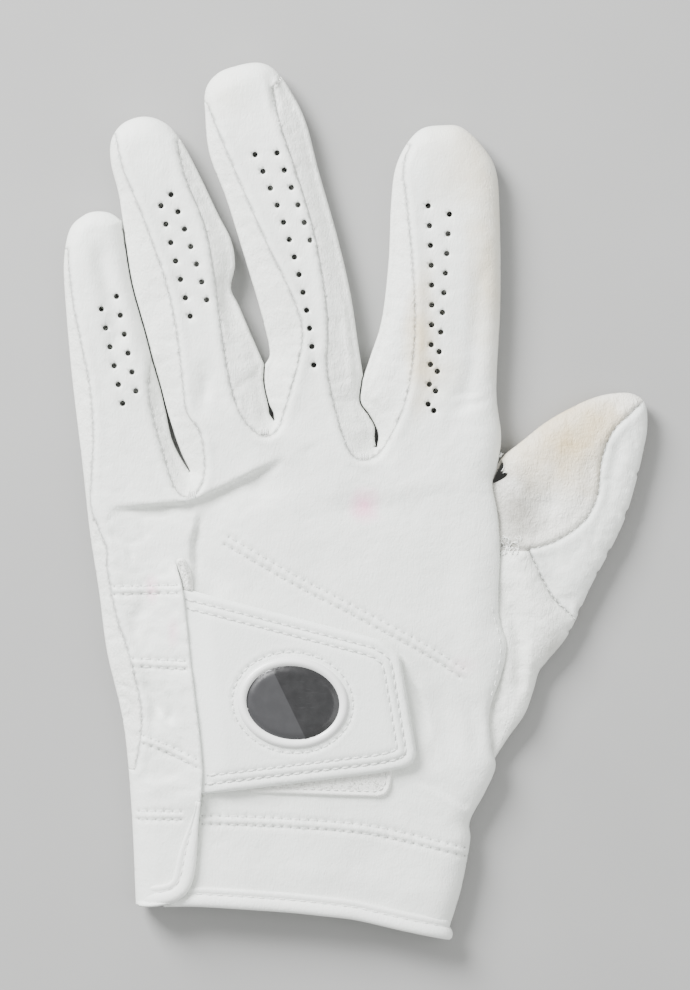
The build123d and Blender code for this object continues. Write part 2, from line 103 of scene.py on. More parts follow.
FLAP_CORNER = [(-40.9, -94.0), (-42.0, -97.6), (-44.4, -99.6), (-47.6, -100.5), (-55.1, -101.0)]
SLIT_LINE = [
    (-44.9, -15.0), (-44.3, -17.8), (-43.5, -21.1), (-42.5, -28.2), (-41.5, -38.0), (-40.1, -50.0),
    (-38.9, -60.0), (-38.3, -68.0), (-38.7, -74.0), (-39.2, -79.0), (-39.8, -84.0), (-40.3, -89.3),
    (-40.9, -94.0),
]
THUMB_LINE = [
    (33.5, 6.0), (37.0, 11.1), (41.4, 14.7), (47.0, 19.2), (52.4, 22.5), (60.0, 26.0), (66.7, 27.2),
    (70.4, 26.6), (72.8, 24.4), (73.3, 19.0), (72.5, 13.6), (70.3, 4.3), (67.5, -4.8), (63.4, -13.4),
    (59.0, -21.6), (53.6, -33.2), (48.5, -39.8), (46.1, -42.8), (44.7, -47.5), (42.5, -53.5),
    (38.2, -59.6), (34.4, -65.5),
]
THUMB_ROOT = [(33.0, -66.0), (28.5, -58.0), (28.5, -8.0), (31.0, 4.0)]

# ---------------------------------------------------------------- seam lines
ULNAR_SEAM = [
    (-55.3, -67.3), (-54.2, -62.0), (-53.5, -52.5), (-56.4, -39.2), (-59.7, -29.3), (-62.0, -17.8),
    (-62.4, -11.8), (-66.1, -2.4), (-66.2, 4.3), (-65.6, 16.0), (-66.4, 28.0), (-68.6, 39.0),
    (-71.0, 51.0), (-72.1, 63.0),
]
LITTLE_SEAM = [
    (-60.2, 92.0), (-58.1, 82.9), (-53.1, 70.8), (-47.9, 56.5), (-44.9, 43.9), (-43.2, 30.0), (-42.1, 22.0),
    (-38.6, 16.4), (-37.7, 7.5), (-39.6, 2.0), (-42.6, 1.1), (-45.0, 3.2), (-47.4, 10.0), (-50.6, 21.5),
    (-51.7, 28.5), (-51.2, 36.0),
]
RING_SEAM = [
    (-44.6, 90.0), (-42.4, 81.0), (-37.6, 69.0), (-35.4, 58.0), (-33.6, 44.0), (-31.4, 30.5), (-28.6, 21.6),
    (-23.6, 16.4), (-19.6, 17.8), (-16.8, 25.5), (-14.2, 34.8), (-13.2, 42.4), (-15.4, 50.4), (-21.8, 63.7),
    (-28.6, 79.0), (-33.9, 91.2), (-37.2, 99.5),
]
INDEX_SEAM = [
    (-20.6, 103.0), (-18.6, 94.0), (-14.9, 82.9), (-10.3, 67.5), (-7.5, 52.1), (-6.7, 42.0), (-6.9, 33.0),
    (-4.4, 21.0), (-1.2, 12.2), (2.6, 10.3), (6.6, 12.8), (11.6, 22.2), (14.1, 32.5), (15.0, 45.0),
    (14.3, 60.0), (12.8, 75.0), (11.9, 83.0), (13.6, 89.0),
]
THUMB_SEAM = [
    (72.2, 25.0), (68.3, 21.3), (64.4, 17.2), (61.8, 10.6), (60.6, 1.0), (57.0, -5.4), (50.2, -10.1),
    (43.0, -12.1), (38.5, -11.4), (33.0, -10.6),
]
THUMB_BASE_SEAM = [(43.6, -12.5), (46.9, -19.4), (50.2, -24.9), (55.6, -30.0)]

# ---------------------------------------------------------------- perforations, (top, bottom, count, bow)
PERFORATIONS = [
    ((18.2, 73.8), (18.2, 24.2), 11, 0.9), ((23.5, 71.7), (19.6, 22.6), 11, 0.2),
    ((-25.1, 86.6), (-10.4, 34.0), 13, 2.6), ((-19.6, 87.0), (-11.3, 65.2), 6, 0.3),
    ((-48.6, 73.8), (-41.3, 46.2), 7, 0.0), ((-46.1, 76.6), (-37.2, 50.3), 7, 0.5),
    ((-59.8, 51.2), (-54.9, 27.5), 6, 0.0), ((-63.5, 48.0), (-58.2, 24.4), 6, 0.0),
]

# ---------------------------------------------------------------- folds: line, height, width
HAND_FOLDS = [
    ([(-30.0, 0.0), (-24.0, 3.4), (-18.0, 6.4)], -0.8, 3.4),
    ([(-9.0, -3.0), (2.0, -1.6), (14.0, -2.4)], -0.8, 3.4),
    ([(-38.0, -12.0), (-35.4, -18.0), (-29.0, -23.0)], -0.7, 3.4),
    ([(-64.5, 66.0), (-62.6, 56.0), (-60.4, 46.0), (-59.0, 36.0)], -1.5, 2.4),
    ([(-37.8, 33.0), (-37.4, 28.0), (-38.4, 23.8)], -1.0, 1.5),
    ([(-33.6, 54.0), (-32.0, 49.5), (-30.0, 45.0)], -0.9, 1.3),
    ([(-21.4, 106.4), (-20.4, 101.0), (-20.0, 96.8)], -0.9, 0.9),
    ([(-2.7, 50.0), (-0.9, 33.0), (0.4, 22.0)], 0.7, 0.9),
    ([(31.0, 60.0), (30.4, 45.0), (28.6, 30.0), (25.0, 20.0)], -0.8, 2.2),
    ([(33.6, 26.0), (30.0, 24.6), (25.0, 23.6)], -0.6, 1.6),
    ([(-52.0, -24.0), (-54.6, -30.0), (-55.0, -36.0)], -0.7, 1.8),
    ([(-54.0, -44.0), (-50.0, -51.0), (-51.0, -57.0)], -0.9, 1.5),
    ([(-47.0, -47.0), (-45.6, -52.0), (-47.4, -56.0)], -0.7, 1.1),
    ([(-53.0, -72.0), (-47.0, -71.0), (-42.0, -69.4)], 0.5, 1.4),
    ([(-36.6, -74.4), (-34.4, -76.8), (-33.0, -79.0)], -0.5, 0.9),
    ([(18.0, -44.0), (22.0, -56.0), (24.0, -68.0)], -0.9, 4.0),
    ([(28.0, -12.0), (29.0, -30.0), (31.0, -44.0)], 0.5, 4.0),
    ([(6.0, 2.0), (16.0, 4.6), (27.0, 5.0)], 0.4, 3.0),
    ([(27.0, -46.0), (30.0, -56.0), (30.0, -66.0)], -0.7, 2.4),
    ([(-20.0, -92.0), (2.0, -95.0), (22.0, -100.0)], 0.3, 3.0),
]
# Tucks: the leather on the left of the line lies over a hollow on its right.
# Line, height over, depth under, and how far each side takes to level out.
TUCKS = [
    (
        [(-63.5, -1.7), (-57.0, -1.6), (-51.1, -1.2), (-43.4, -0.5), (-38.9, 0.7), (-31.9, 3.8),
         (-24.3, 7.6), (-16.2, 11.4)],
        1.0, 2.0, 3.6, 4.6,
    ),
    (
        [(-40.0, -21.5), (-40.4, -17.3), (-41.0, -11.5), (-40.3, -7.7), (-39.4, -3.1), (-39.8, -0.6)],
        0.5, 1.7, 2.2, 4.4,
    ),
    ([(-56.4, -17.0), (-57.5, -11.5), (-60.8, -9.4), (-61.4, -6.0)], 0.3, 0.8, 1.4, 2.4),
    ([(-30.5, 40.5), (-33.2, 46.5), (-33.6, 52.5)], 0.2, 1.0, 1.2, 1.8),
    ([(13.4, -42.0), (16.6, -50.0), (19.4, -60.0)], 0.3, 1.2, 3.0, 5.0),
    ([(33.4, 27.2), (28.0, 26.2), (22.0, 25.4)], 0.2, 0.7, 1.5, 2.6),
    ([(31.6, -78.6), (26.0, -76.0), (20.0, -72.4), (15.0, -69.6)], 0.2, 0.8, 2.0, 3.0),
    ([(-44.4, -57.0), (-49.0, -53.0), (-52.4, -48.6)], 0.3, 0.8, 1.4, 2.2),
]
THUMB_FOLDS = [
    ([(40.0, 2.0), (46.0, -2.0), (53.0, -3.5)], -0.9, 4.0),
    ([(66.0, 20.0), (58.0, 12.0), (54.0, 0.0), (49.0, -7.0)], 0.7, 3.0),
    ([(45.5, -16.0), (50.5, -24.0), (55.5, -29.0)], -1.5, 2.4),
    ([(41.0, -16.0), (45.0, -26.0), (50.0, -36.0)], 0.9, 2.4),
    ([(38.6, -24.0), (41.0, -34.0), (41.0, -50.0)], -1.5, 1.9),
    ([(43.6, -34.0), (43.0, -44.0), (41.0, -54.0)], 0.5, 1.6),
    ([(66.6, 15.0), (64.0, 6.0), (63.0, -2.0)], -0.5, 1.6),
]


# ---------------------------------------------------------------- plan geometry
def smooth_line(points, step=LINE_STEP, closed=False):
    """Evenly sampled Catmull-Rom curve through the points."""
    pts = np.array(points, float)
    if closed:
        pts = np.vstack([pts[-1], pts, pts[0], pts[1]])
    else:
        pts = np.vstack([2 * pts[0] - pts[1], pts, 2 * pts[-1] - pts[-2]])
    dense = []
    t = np.linspace(0.0, 1.0, 24, endpoint=False)[:, None]
    for a, b, c, d in zip(pts[:-3], pts[1:-2], pts[2:-1], pts[3:]):
        square, cube = 2 * a - 5 * b + 4 * c - d, 3 * b - a - 3 * c + d
        dense.append(0.5 * (2 * b + (c - a) * t + square * t**2 + cube * t**3))
    dense.append(pts[-2][None])
    dense = np.vstack(dense)
    length = np.concatenate([[0.0], np.cumsum(np.linalg.norm(np.diff(dense, axis=0), axis=1))])
    count = max(2, int(round(length[-1] / step)) + 1)
    wanted = np.linspace(0.0, length[-1], count)
    return np.stack([np.interp(wanted, length, dense[:, 0]), np.interp(wanted, length, dense[:, 1])], axis=1)


def normals_of(line):
    """Unit left-hand normals along a plan line."""
    along = np.gradient(line, axis=0)
    along /= np.linalg.norm(along, axis=1)[:, None] + 1e-9
    return np.stack([-along[:, 1], along[:, 0]], axis=1)


def distance(points, line, signed=False):
    """Distance from each point to a polyline; positive on its left if signed."""
    a, b = line[:-1], line[1:]
    edge = b - a
    size = (edge**2).sum(1) + 1e-12
    out = np.empty(len(points))
    for start in range(0, len(points), 4000):
        p = points[start:start + 4000, None, :] - a[None]
        t = np.clip((p * edge).sum(2) / size, 0.0, 1.0)
        gap = p - t[..., None] * edge
        squared = (gap**2).sum(2)
        nearest = squared.argmin(1)
        rows = np.arange(len(nearest))
        value = np.sqrt(squared[rows, nearest])
        if signed:
            cross = edge[nearest, 0] * p[rows, nearest, 1] - edge[nearest, 1] * p[rows, nearest, 0]
            value *= np.where(cross >= 0, 1.0, -1.0)
        out[start:start + 4000] = value
    return out


def inside(points, loop):
    """Whether each point is inside a closed loop."""
    x, y = points[:, 0], points[:, 1]
    hit = np.zeros(len(points), bool)
    for (x0, y0), (x1, y1) in zip(loop, np.roll(loop, -1, axis=0)):
        crosses = (y0 > y) != (y1 > y)
        hit ^= crosses & (x < (x1 - x0) * (y - y0) / (y1 - y0 + 1e-12) + x0)
    return hit


def soft_step(value, start, end):
    """0 up to the start, 1 from the end, and a smooth rise between them."""
    t = np.clip((value - start) / (end - start), 0.0, 1.0)
    return t * t * (3 - 2 * t)


def crease_sides(line, width=SLIT_WIDTH):
    """Down one side of a slit and back up the other; it gapes a little above its end."""
    path = smooth_line(line)
    along = np.linspace(0.0, 1.0, len(path))[:, None]
    gape = 1.0 + 3.2 * np.exp(-(((along - 0.86) / 0.09) ** 2))
    shift = normals_of(path) * gape * width / 2
    shift[-1] = 0.0
    return path - shift, (path + shift)[::-1]


def closed_line(loop):
    """Loop with its first point repeated at its end."""
    return np.vstack([loop, loop[:1]])


def bowed(top, bottom, count, bow):
    """Points on a slightly bowed line from top to bottom."""
    top, bottom = np.array(top), np.array(bottom)
    along = bottom - top
    side = np.array([-along[1], along[0]]) / np.linalg.norm(along)
    t = np.linspace(0.0, 1.0, count)
    return [top + along * k + side * bow * 4 * k * (1 - k) for k in t]


# ---------------------------------------------------------------- outlines of the sheets
little_left, little_right = crease_sides(LITTLE_CREASE)
ring_left, ring_right = crease_sides(RING_CREASE)
middle_left, middle_right = crease_sides(MIDDLE_CREASE)
ulnar = smooth_line(ULNAR_LINE)
ring = smooth_line(RING_LINE)
middle = smooth_line(MIDDLE_LINE)
index = smooth_line(INDEX_LINE)
cuff = smooth_line(CUFF_LINE)
slit = smooth_line(SLIT_LINE)
flap = smooth_line(FLAP_CORNER)
slit_other_side = slit + (SLIT_WIDTH, 0.0)

to_index = [
    ulnar, little_left, little_right[1:], ring, ring_left, ring_right[1:],
    middle, middle_left, middle_right[1:],
]
finger_rim = np.vstack([*to_index, index])
hand_outline = np.vstack([finger_rim, cuff, slit_other_side[::-1], slit[1:], flap[1:-1]])
thumb_edge = smooth_line(THUMB_LINE)
# the seam pulls small nicks into the outer side of the thumb
NICK_PITCH, NICK_DEPTH = 5.4, 0.32
nick_place = (np.arange(len(thumb_edge)) * LINE_STEP) % NICK_PITCH
nicked = (thumb_edge[:, 0] > 52.0) & (thumb_edge[:, 1] < 9.0) & (thumb_edge[:, 1] > -34.0)
thumb_edge -= normals_of(thumb_edge) * (NICK_DEPTH * nicked * (nick_place < LINE_STEP))[:, None]
thumb_outline = np.vstack([thumb_edge, THUMB_ROOT])

start_of_thumb = np.argmax((index[:, 0] > 30.0) & (index[:, 1] < 11.0))
end_of_thumb = np.argmax((index[:, 0] > 30.0) & (index[:, 1] < -66.0))
outer_index, below_thumb = index[:start_of_thumb], index[end_of_thumb:]
whole_rim = np.vstack([*to_index, outer_index, thumb_edge[1:-1], below_thumb])
whole_outline = np.vstack([whole_rim, cuff, [(-46.0, -101.0)]])

seams = {
    "ulnar": smooth_line(ULNAR_SEAM),
    "ring_little": smooth_line(LITTLE_SEAM),
    "middle_ring": smooth_line(RING_SEAM),
    "index_middle": smooth_line(INDEX_SEAM),
}
thumb_seam = smooth_line(THUMB_SEAM)
thumb_base_seam = smooth_line(THUMB_BASE_SEAM)
regions = {
    "ulnar": np.vstack([seams["ulnar"], [(-85.0, 63.0), (-85.0, -67.3)]]),
    "ring_little": np.vstack(
        [seams["ring_little"], LITTLE_CREASE[4::-1], [(-63.0, 76.0), (-65.0, 90.0), (-61.0, 93.5)]]
    ),
    "middle_ring": np.vstack([seams["middle_ring"], [(-40.0, 102.0), (-40.0, 98.0), (-43.0, 92.0)]]),
    "index_middle": np.vstack(
        [seams["index_middle"], [(11.0, 92.0), (0.0, 100.0), (-10.0, 106.0), (-17.0, 109.0)]]
    ),
}

# ---------------------------------------------------------------- rows of stitching on the hand
CUFF_ROW = [(-38.3, -78.7), (-22.7, -79.2), (-0.7, -80.7), (12.5, -83.1), (27.4, -86.8)]
DIAGONAL_ROW = [(-31.7, -9.0), (-14.6, -18.9), (-0.4, -26.3), (13.3, -33.6), (21.0, -38.0), (27.0, -42.0)]
STRIP_ROWS = [
    [(-60.3, -21.4), (-44.6, -21.0)],
    [(-55.6, -39.4), (-42.6, -40.0)],
    [(-53.0, -58.7), (-46.0, -61.4), (-39.8, -64.4)],
    [(-54.2, -77.6), (-43.6, -77.6)],
]


def moved(points, dx, dy):
    """Points shifted in the plan."""
    return [(x + dx, y + dy) for x, y in points]


rows_of = {
    "cuff_stitching": [CUFF_ROW, moved(CUFF_ROW, 0.0, -2.1)],
    "back_stitching": [DIAGONAL_ROW, moved(DIAGONAL_ROW, -1.0, -1.9)],
    "strip_stitching": [r for row in STRIP_ROWS for r in (row, moved(row, 0.0, -2.0))],
}
stitch_rows = {name: [smooth_line(r, STITCH_PITCH) for r in rows] for name, rows in rows_of.items()}
needle_points = np.vstack([r for rows in stitch_rows.values() for r in rows])
perforations = np.vstack([bowed(*column) for column in PERFORATIONS])

# gap at the crotch of the thumb
CROTCH_GAP = [(34.3, 4.7), (35.7, 8.9), (36.5, 10.3), (37.2, 8.9), (37.0, 7.5), (38.1, 6.6), (36.7, 5.4)]
crotch_hole = smooth_line(CROTCH_GAP, 0.35, closed=True)[:-1]

# ---------------------------------------------------------------- height of the leather
slit_by_y = np.vstack([flap[::-1], slit[::-1]])


def slit_x(y):
    """X of the strip's free edge at each Y."""
    return np.interp(y, slit_by_y[:, 1], slit_by_y[:, 0])


def ripple(points, scale, seed):
    """Smooth noise from -1 to 1 in the plan."""
    return np.array([noise.noise(Vector((x / scale, y / scale, seed))) for x, y in points])


def round_edge(d, reach, power=2.3):
    """0 at an outline, rising steeply and levelling out to 1 at the reach."""
    return (1.0 - (1.0 - np.clip(d / reach, 0.0, 1.0)) ** power) ** 0.5


def from_ends(points, path):
    """Distance from each point to the nearer end of a path."""
    return np.minimum(np.linalg.norm(points - path[0], axis=1), np.linalg.norm(points - path[-1], axis=1))


def add_folds(points, z, folds, rim):
    """Adds soft ridges and valleys, which fade towards their ends and the outline."""
    settle = soft_step(distance(points, rim), 0.0, 3.0)
    for line, height, width in folds:
        path = smooth_line(line)
        d = distance(points, path)
        fade = 0.35 + 0.65 * soft_step(from_ends(points, path), 0.0, 2.5 * width)
        z += settle * height * np.exp(-((d / width) ** 2)) * fade
    return z


def add_tucks(points, z, tucks, rim):
    """Adds steps where the leather on one side of a line lies over a hollow on the other."""
    settle = soft_step(distance(points, rim), 0.0, 3.0)
    for line, over, under, near, far in tucks:
        path = smooth_line(line)
        s = distance(points, path, signed=True)
        from_middle = np.linalg.norm(points - path[len(path) // 2], axis=1)
        reach = np.linalg.norm(path[0] - path[-1]) / 2
        beside_path = 1.0 - soft_step(from_middle, 0.9 * reach + near, 1.1 * reach + near + far)
        above = 0.5 * (1.0 + np.tanh(s / 0.4))
        step = above * over * np.exp(-np.abs(s) / near) - (1.0 - above) * under * np.exp(-np.abs(s) / far)
        z += settle * beside_path * step * soft_step(from_ends(points, path), 0.0, 0.3 * reach + far)
    return z


def crumple(points, scale, seed, width=0.10):
    """Thin wandering wrinkles, 1 in the middle of each and 0 between them."""
    return np.exp(-((ripple(points, scale, seed) / width) ** 2))


def strip_rise(points):
    """How far the free edge of the strip stands up over the tab and the cuff."""
    x, y = points[:, 0], points[:, 1]
    across = np.clip((x + 53.0) / (slit_x(y) + 53.0), 0.0, 1.2) ** 1.6
    over_tab = soft_step(y, -13.0, -22.0) * (1.0 - soft_step(y, -72.0, -80.0))
    over_cuff = soft_step(y, -70.0, -78.0)
    left = x < slit_x(y) + SLIT_WIDTH / 2
    return np.where(left & (y < -13.0), across * (2.5 * over_tab + 1.3 * over_cuff), 0.0)


def add_seams(points, z, settle):
    """Sinks the seams, and sets the leather beyond each a little lower than the back."""
    for name, seam in seams.items():
        d = distance(points, seam)
        beyond = inside(points, regions[name])
        z -= 0.42 * settle * np.exp(-((d / 0.42) ** 2))
        puff = np.where(beyond, -1.3 * (1.0 - np.exp(-d / 1.6)), 0.32 * np.exp(-(((d - 1.4) / 1.1) ** 2)))
        z += settle * puff
    return z


def add_rows(points, z):
    """Raises a soft ridge between the rows of each pair and sinks the rows themselves."""
    for rows in stitch_rows.values():
        for a, b in zip(rows[::2], rows[1::2]):
            count = min(len(a), len(b))
            z += 0.42 * np.exp(-((distance(points, (a[:count] + b[:count]) / 2) / 0.75) ** 2))
            for row in (a, b):
                z -= 0.34 * np.exp(-((distance(points, row) / 0.45) ** 2))
    return z


def add_wrinkles(points, z, settle):
    """Thin wrinkles, most on the gussets, the strip and the knuckles, and a fine unevenness."""
    x, y = points[:, 0], points[:, 1]
    gusset = sum(inside(points, loop) for loop in regions.values())
    strip_side = (1.0 - soft_step(x, -42.0, -37.0)) * (1.0 - soft_step(y, -10.0, 0.0))
    strip_side = strip_side * soft_step(y, -80.0, -70.0)
    knuckles = np.exp(-(((y - 2.0) / 14.0) ** 2)) + np.exp(-(((y - 28.0) / 9.0) ** 2))
    coarse = 0.16 * gusset + 0.20 * strip_side + 0.13 * knuckles
    z -= settle * coarse * crumple(points * (1.0, 1.5), 7.0, 12.5)
    z -= settle * (0.10 * gusset + 0.10 * strip_side + 0.05) * crumple(points * (0.7, 1.3), 3.4, 31.5)
    z += settle * (0.07 * ripple(points, 2.6, 1.3) + 0.05 * ripple(points * (1.0, 2.2), 2.2, 5.9))
    return z


def add_pits(points, z):
    """Dents the leather round each perforation and needle hole."""
    for spots, depth, radius in ((perforations, 0.3, 1.2), (needle_points, 0.16, 0.5)):
        for spot in spots:
            near = np.abs(points - spot).max(1) < 2.5
            z[near] -= depth * np.exp(-(((points[near] - spot) ** 2).sum(1)) / radius**2)
    return z


def hand_top(points, detail=True, strip=True):
    """Height of the back of the hand."""
    points = np.asarray(points, float)
    x, y = points[:, 0], points[:, 1]
    over = soft_step(y, -69.0, -60.0) * (1.0 - soft_step(y, 3.0, 9.0)) * soft_step(x, 10.0, 28.0)
    edge = FOLD_LEVEL + (OVER_THUMB - FOLD_LEVEL) * over
    crown = TOP + 0.45 * ripple(points, 21.0, 3.1) + 0.22 * ripple(points, 8.0, 7.7)
    from_rim = distance(points, finger_rim)
    settle = soft_step(from_rim, 0.0, 1.6)
    z = add_folds(points, edge + (crown - edge) * round_edge(from_rim, EDGE_ROUND), HAND_FOLDS, finger_rim)
    z = add_tucks(points, z, TUCKS, finger_rim)
    if strip:
        z += strip_rise(points)
    z = add_seams(points, z, settle)
    if detail:
        z = add_pits(points, add_wrinkles(points, add_rows(points, z), settle))
    return z


def bare_hand(points):
    """Height of the back of the hand without rows, wrinkles and pits."""
    return hand_top(points, False)


def under_strip(points):
    """The same, with the strip lying down."""
    return hand_top(points, False, False)


def raised(height, rise):
    """Height function raised by a fixed amount, or lowered."""
    return lambda points: height(points) + rise


def palm_bottom(points):
    """Height of the underside, which lies on the surface."""
    d = distance(points, whole_rim)
    z = FOLD_LEVEL * (1.0 - round_edge(d, PALM_ROUND))
    return z + np.where(d > 3.0, 0.12 * (1.0 + ripple(points, 6.0, 2.2)), 0.0)


def thumb_top(points):
    """Height of the back of the thumb, which passes under the edge of the hand."""
    d = distance(points, thumb_edge)
    crown = THUMB_TOP + 0.3 * ripple(points, 9.0, 4.4) - 1.6 * (1.0 - soft_step(points[:, 0], 34.0, 42.0))
    z = FOLD_LEVEL + (crown - FOLD_LEVEL) * round_edge(d, EDGE_ROUND)
    z = add_folds(points, z, THUMB_FOLDS, thumb_edge)
    settle = soft_step(d, 0.0, 1.6)
    for seam in (thumb_seam, thumb_base_seam):
        gap = distance(points, seam)
        z -= 0.4 * settle * np.exp(-((gap / 0.45) ** 2))
        z += 0.3 * settle * np.exp(-(((gap - 1.5) / 1.1) ** 2))
    knot = np.linalg.norm(points - (38.0, -11.6), axis=1)
    z -= 0.8 * np.exp(-((knot / 2.6) ** 2))
    z -= settle * 0.20 * crumple(points * (1.3, 0.8), 5.5, 2.5)
    z -= settle * 0.14 * crumple(points * (0.8, 1.4), 2.6, 6.5)
    return z + settle * (0.08 * ripple(points, 2.4, 8.8) + 0.06 * ripple(points * (1.0, 2.0), 2.0, 9.9))


# ---------------------------------------------------------------- meshing
def ring_of(centre, radius, count):
    """Points of a circle in the plan."""
    turn = np.linspace(0.0, 2 * math.pi, count, endpoint=False)
    return np.stack([centre[0] + radius * np.cos(turn), centre[1] + radius * np.sin(turn)], axis=1)


def grid_points(outline, spacing):
    """Slightly uneven triangular grid inside an outline."""
    low, high = outline.min(0), outline.max(0)
    rows = np.arange(low[1], high[1], spacing * 0.87)
    columns = np.arange(low[0], high[0], spacing)
    grid = np.array([(x + (i % 2) * spacing / 2, y) for i, y in enumerate(rows) for x in columns])
    grid += np.stack([ripple(grid, 0.37, 1.0), ripple(grid, 0.37, 2.0)], axis=1) * 0.1
    return grid[inside(grid, outline)]


def clear_of(grid, crowd, reach):
    """The grid points with nothing of the crowd within reach, which is under 1 mm."""
    cell = {}
    for i, (x, y) in enumerate(crowd):
        cell.setdefault((int(x // 1), int(y // 1)), []).append(i)
    beside = [(a, b) for a in (-1, 0, 1) for b in (-1, 0, 1)]
    free = []
    for x, y in grid:
        near = [i for a, b in beside for i in cell.get((int(x // 1) + a, int(y // 1) + b), ())]
        if not near or ((crowd[near] - (x, y)) ** 2).sum(1).min() > reach**2:
            free.append((x, y))
    return free


def rim_rows(rim, outline):
    """Rows of points just inside the rim, where the leather curves most."""
    side = normals_of(rim)
    made = []
    for reach in RIM_ROWS:
        row = np.vstack([rim + side * reach, rim - side * reach])
        row = row[inside(row, outline)]
        made.append(row[distance(row, closed_line(rim)) > 0.85 * reach])
    return made


def triangulate(outline, lines=(), holes=(), rim=None, dots=None, spacing=GRID):
    """Plan points and triangles inside an outline, with mesh lines along the given lines."""
    outline = outline[np.linalg.norm(outline - np.roll(outline, 1, axis=0), axis=1) > 1e-3]
    fixed = [outline]
    edges = [(i, (i + 1) % len(outline)) for i in range(len(outline))]
    start = len(outline)
    for line in lines:
        line = line[inside(line, outline)]
        fixed.append(line)
        edges += [(start + i, start + i + 1) for i in range(len(line) - 1)]
        start += len(line)
    for hole in holes:
        fixed.append(hole)
        edges += [(start + i, start + (i + 1) % len(hole)) for i in range(len(hole))]
        start += len(hole)
    if dots is not None:
        fixed.append(dots[inside(dots, outline)])
    if rim is not None:
        fixed += rim_rows(rim, outline)
    free = clear_of(grid_points(outline, spacing), np.vstack(fixed), 0.42 * spacing)
    everything = np.vstack([*fixed, free])
    points, _, faces, *_ = delaunay_2d_cdt([Vector(p) for p in everything], edges, [], 0, 1e-5, False)
    points = np.array([tuple(p) for p in points])
    faces = np.array(faces)
    centre = points[faces].mean(1)
    keep = inside(centre, outline)
    for hole in holes:
        close = np.where((np.abs(centre - hole.mean(0)).max(1) < HOLE_SEARCH) & keep)[0]
        keep[close] = ~inside(centre[close], hole)
    return points, faces[keep]


def make_mesh(name, vertices, faces):
    """New object from millimetre vertices."""
    mesh = bpy.data.meshes.new(name)
    corners = [tuple(v) for v in np.asarray(vertices) * MM]
    mesh.from_pydata(corners, [], [tuple(int(i) for i in f) for f in faces])
    mesh.validate()
    mesh.polygons.foreach_set("use_smooth", [True] * len(mesh.polygons))
    obj = bpy.data.objects.new(name, mesh)
    bpy.context.collection.objects.link(obj)
    return obj


def sheet_object(name, points, faces, height):
    """Leather sheet with its outer face at the given height and its thickness inside."""
    used, faces = np.unique(faces, return_inverse=True)
    obj = make_mesh(name, np.column_stack([points[used], height[used]]), faces.reshape(-1, 3))
    solid = obj.modifiers.new("thickness", "SOLIDIFY")
    solid.thickness = PLY * MM
    solid.offset = -1.0
    solid.use_even_offset = False
    return obj


def joined(a, b):
    """Two point and face sets as one, sharing points that coincide."""
    points = np.vstack([a[0], b[0]])
    faces = np.vstack([a[1], b[1] + len(a[0])])
    _, first, same = np.unique(np.round(points, 3), axis=0, return_index=True, return_inverse=True)
    return points[first], same.reshape(-1)[faces]


def finish_piece(obj, body, material, *nodes, slot=None):
    """Material, body and the CAD nodes that a piece stands for."""
    obj.data.materials.clear()
    obj.data.materials.append(material)
    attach(obj, body)
    if nodes:
        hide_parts(*nodes)
    return obj


# ---------------------------------------------------------------- shader helpers
def connect(tree, socket, value):
    """Links an output to a socket, or sets the socket to a plain value."""
    if isinstance(value, bpy.types.NodeSocket):
        tree.links.new(value, socket)
    else:
        socket.default_value = value


def shader_node(tree, kind, inputs=None, **settings):
    """New node with its inputs linked or set."""
    made = tree.nodes.new(kind)
    for key, value in settings.items():
        setattr(made, key, value)
    for key, value in (inputs or {}).items():
        connect(tree, made.inputs[key], value)
    return made


def mixed(tree, factor, a, b):
    """Colour a turning to colour b with the factor."""
    made = tree.nodes.new("ShaderNodeMix")
    made.data_type = "RGBA"
    for number, value in ((0, factor), (6, a), (7, b)):
        connect(tree, made.inputs[number], value)
    return made.outputs[2]


def ranged(tree, value, low, high, to_low=0.0, to_high=1.0):
    """A value's range from low to high spread over another range, and held at its ends."""
    inputs = {"Value": value, "From Min": low, "From Max": high, "To Min": to_low, "To Max": to_high}
    return shader_node(tree, "ShaderNodeMapRange", inputs).outputs[0]


def clouds(tree, place, scale, detail, distortion=0.0):
    """Noise texture's value."""
    inputs = {"Vector": place, "Scale": scale, "Detail": detail, "Distortion": distortion}
    return shader_node(tree, "ShaderNodeTexNoise", inputs).outputs[0]


def paint(red, green, blue):
    """Opaque colour."""
    return (red, green, blue, 1.0)


def stretched(tree, place, scale):
    """Object position stretched by a factor on each axis."""
    made = shader_node(tree, "ShaderNodeVectorMath", {0: place, 1: scale}, operation="MULTIPLY")
    return made.outputs[0]


def new_material(name, **uniform):
    """Material, its tree, its shader and the position on the object."""
    material = bpy.data.materials.new(name)
    material.use_nodes = True
    tree = material.node_tree
    shader = tree.nodes["Principled BSDF"]
    for key, value in uniform.items():
        shader.inputs[key.replace("_", " ")].default_value = value
    place = tree.nodes.new("ShaderNodeTexCoord").outputs["Object"]
    return material, tree, shader, place


def bumped(tree, shader, layers):
    """Stacks (height, strength, depth in millimetres) layers on the shader's normal."""
    normal = None
    for height, strength, depth in layers:
        inputs = {"Height": height, "Strength": strength, "Distance": depth * MM}
        if normal is not None:
            inputs["Normal"] = normal
        normal = shader_node(tree, "ShaderNodeBump", inputs).outputs[0]
    tree.links.new(normal, shader.inputs["Normal"])


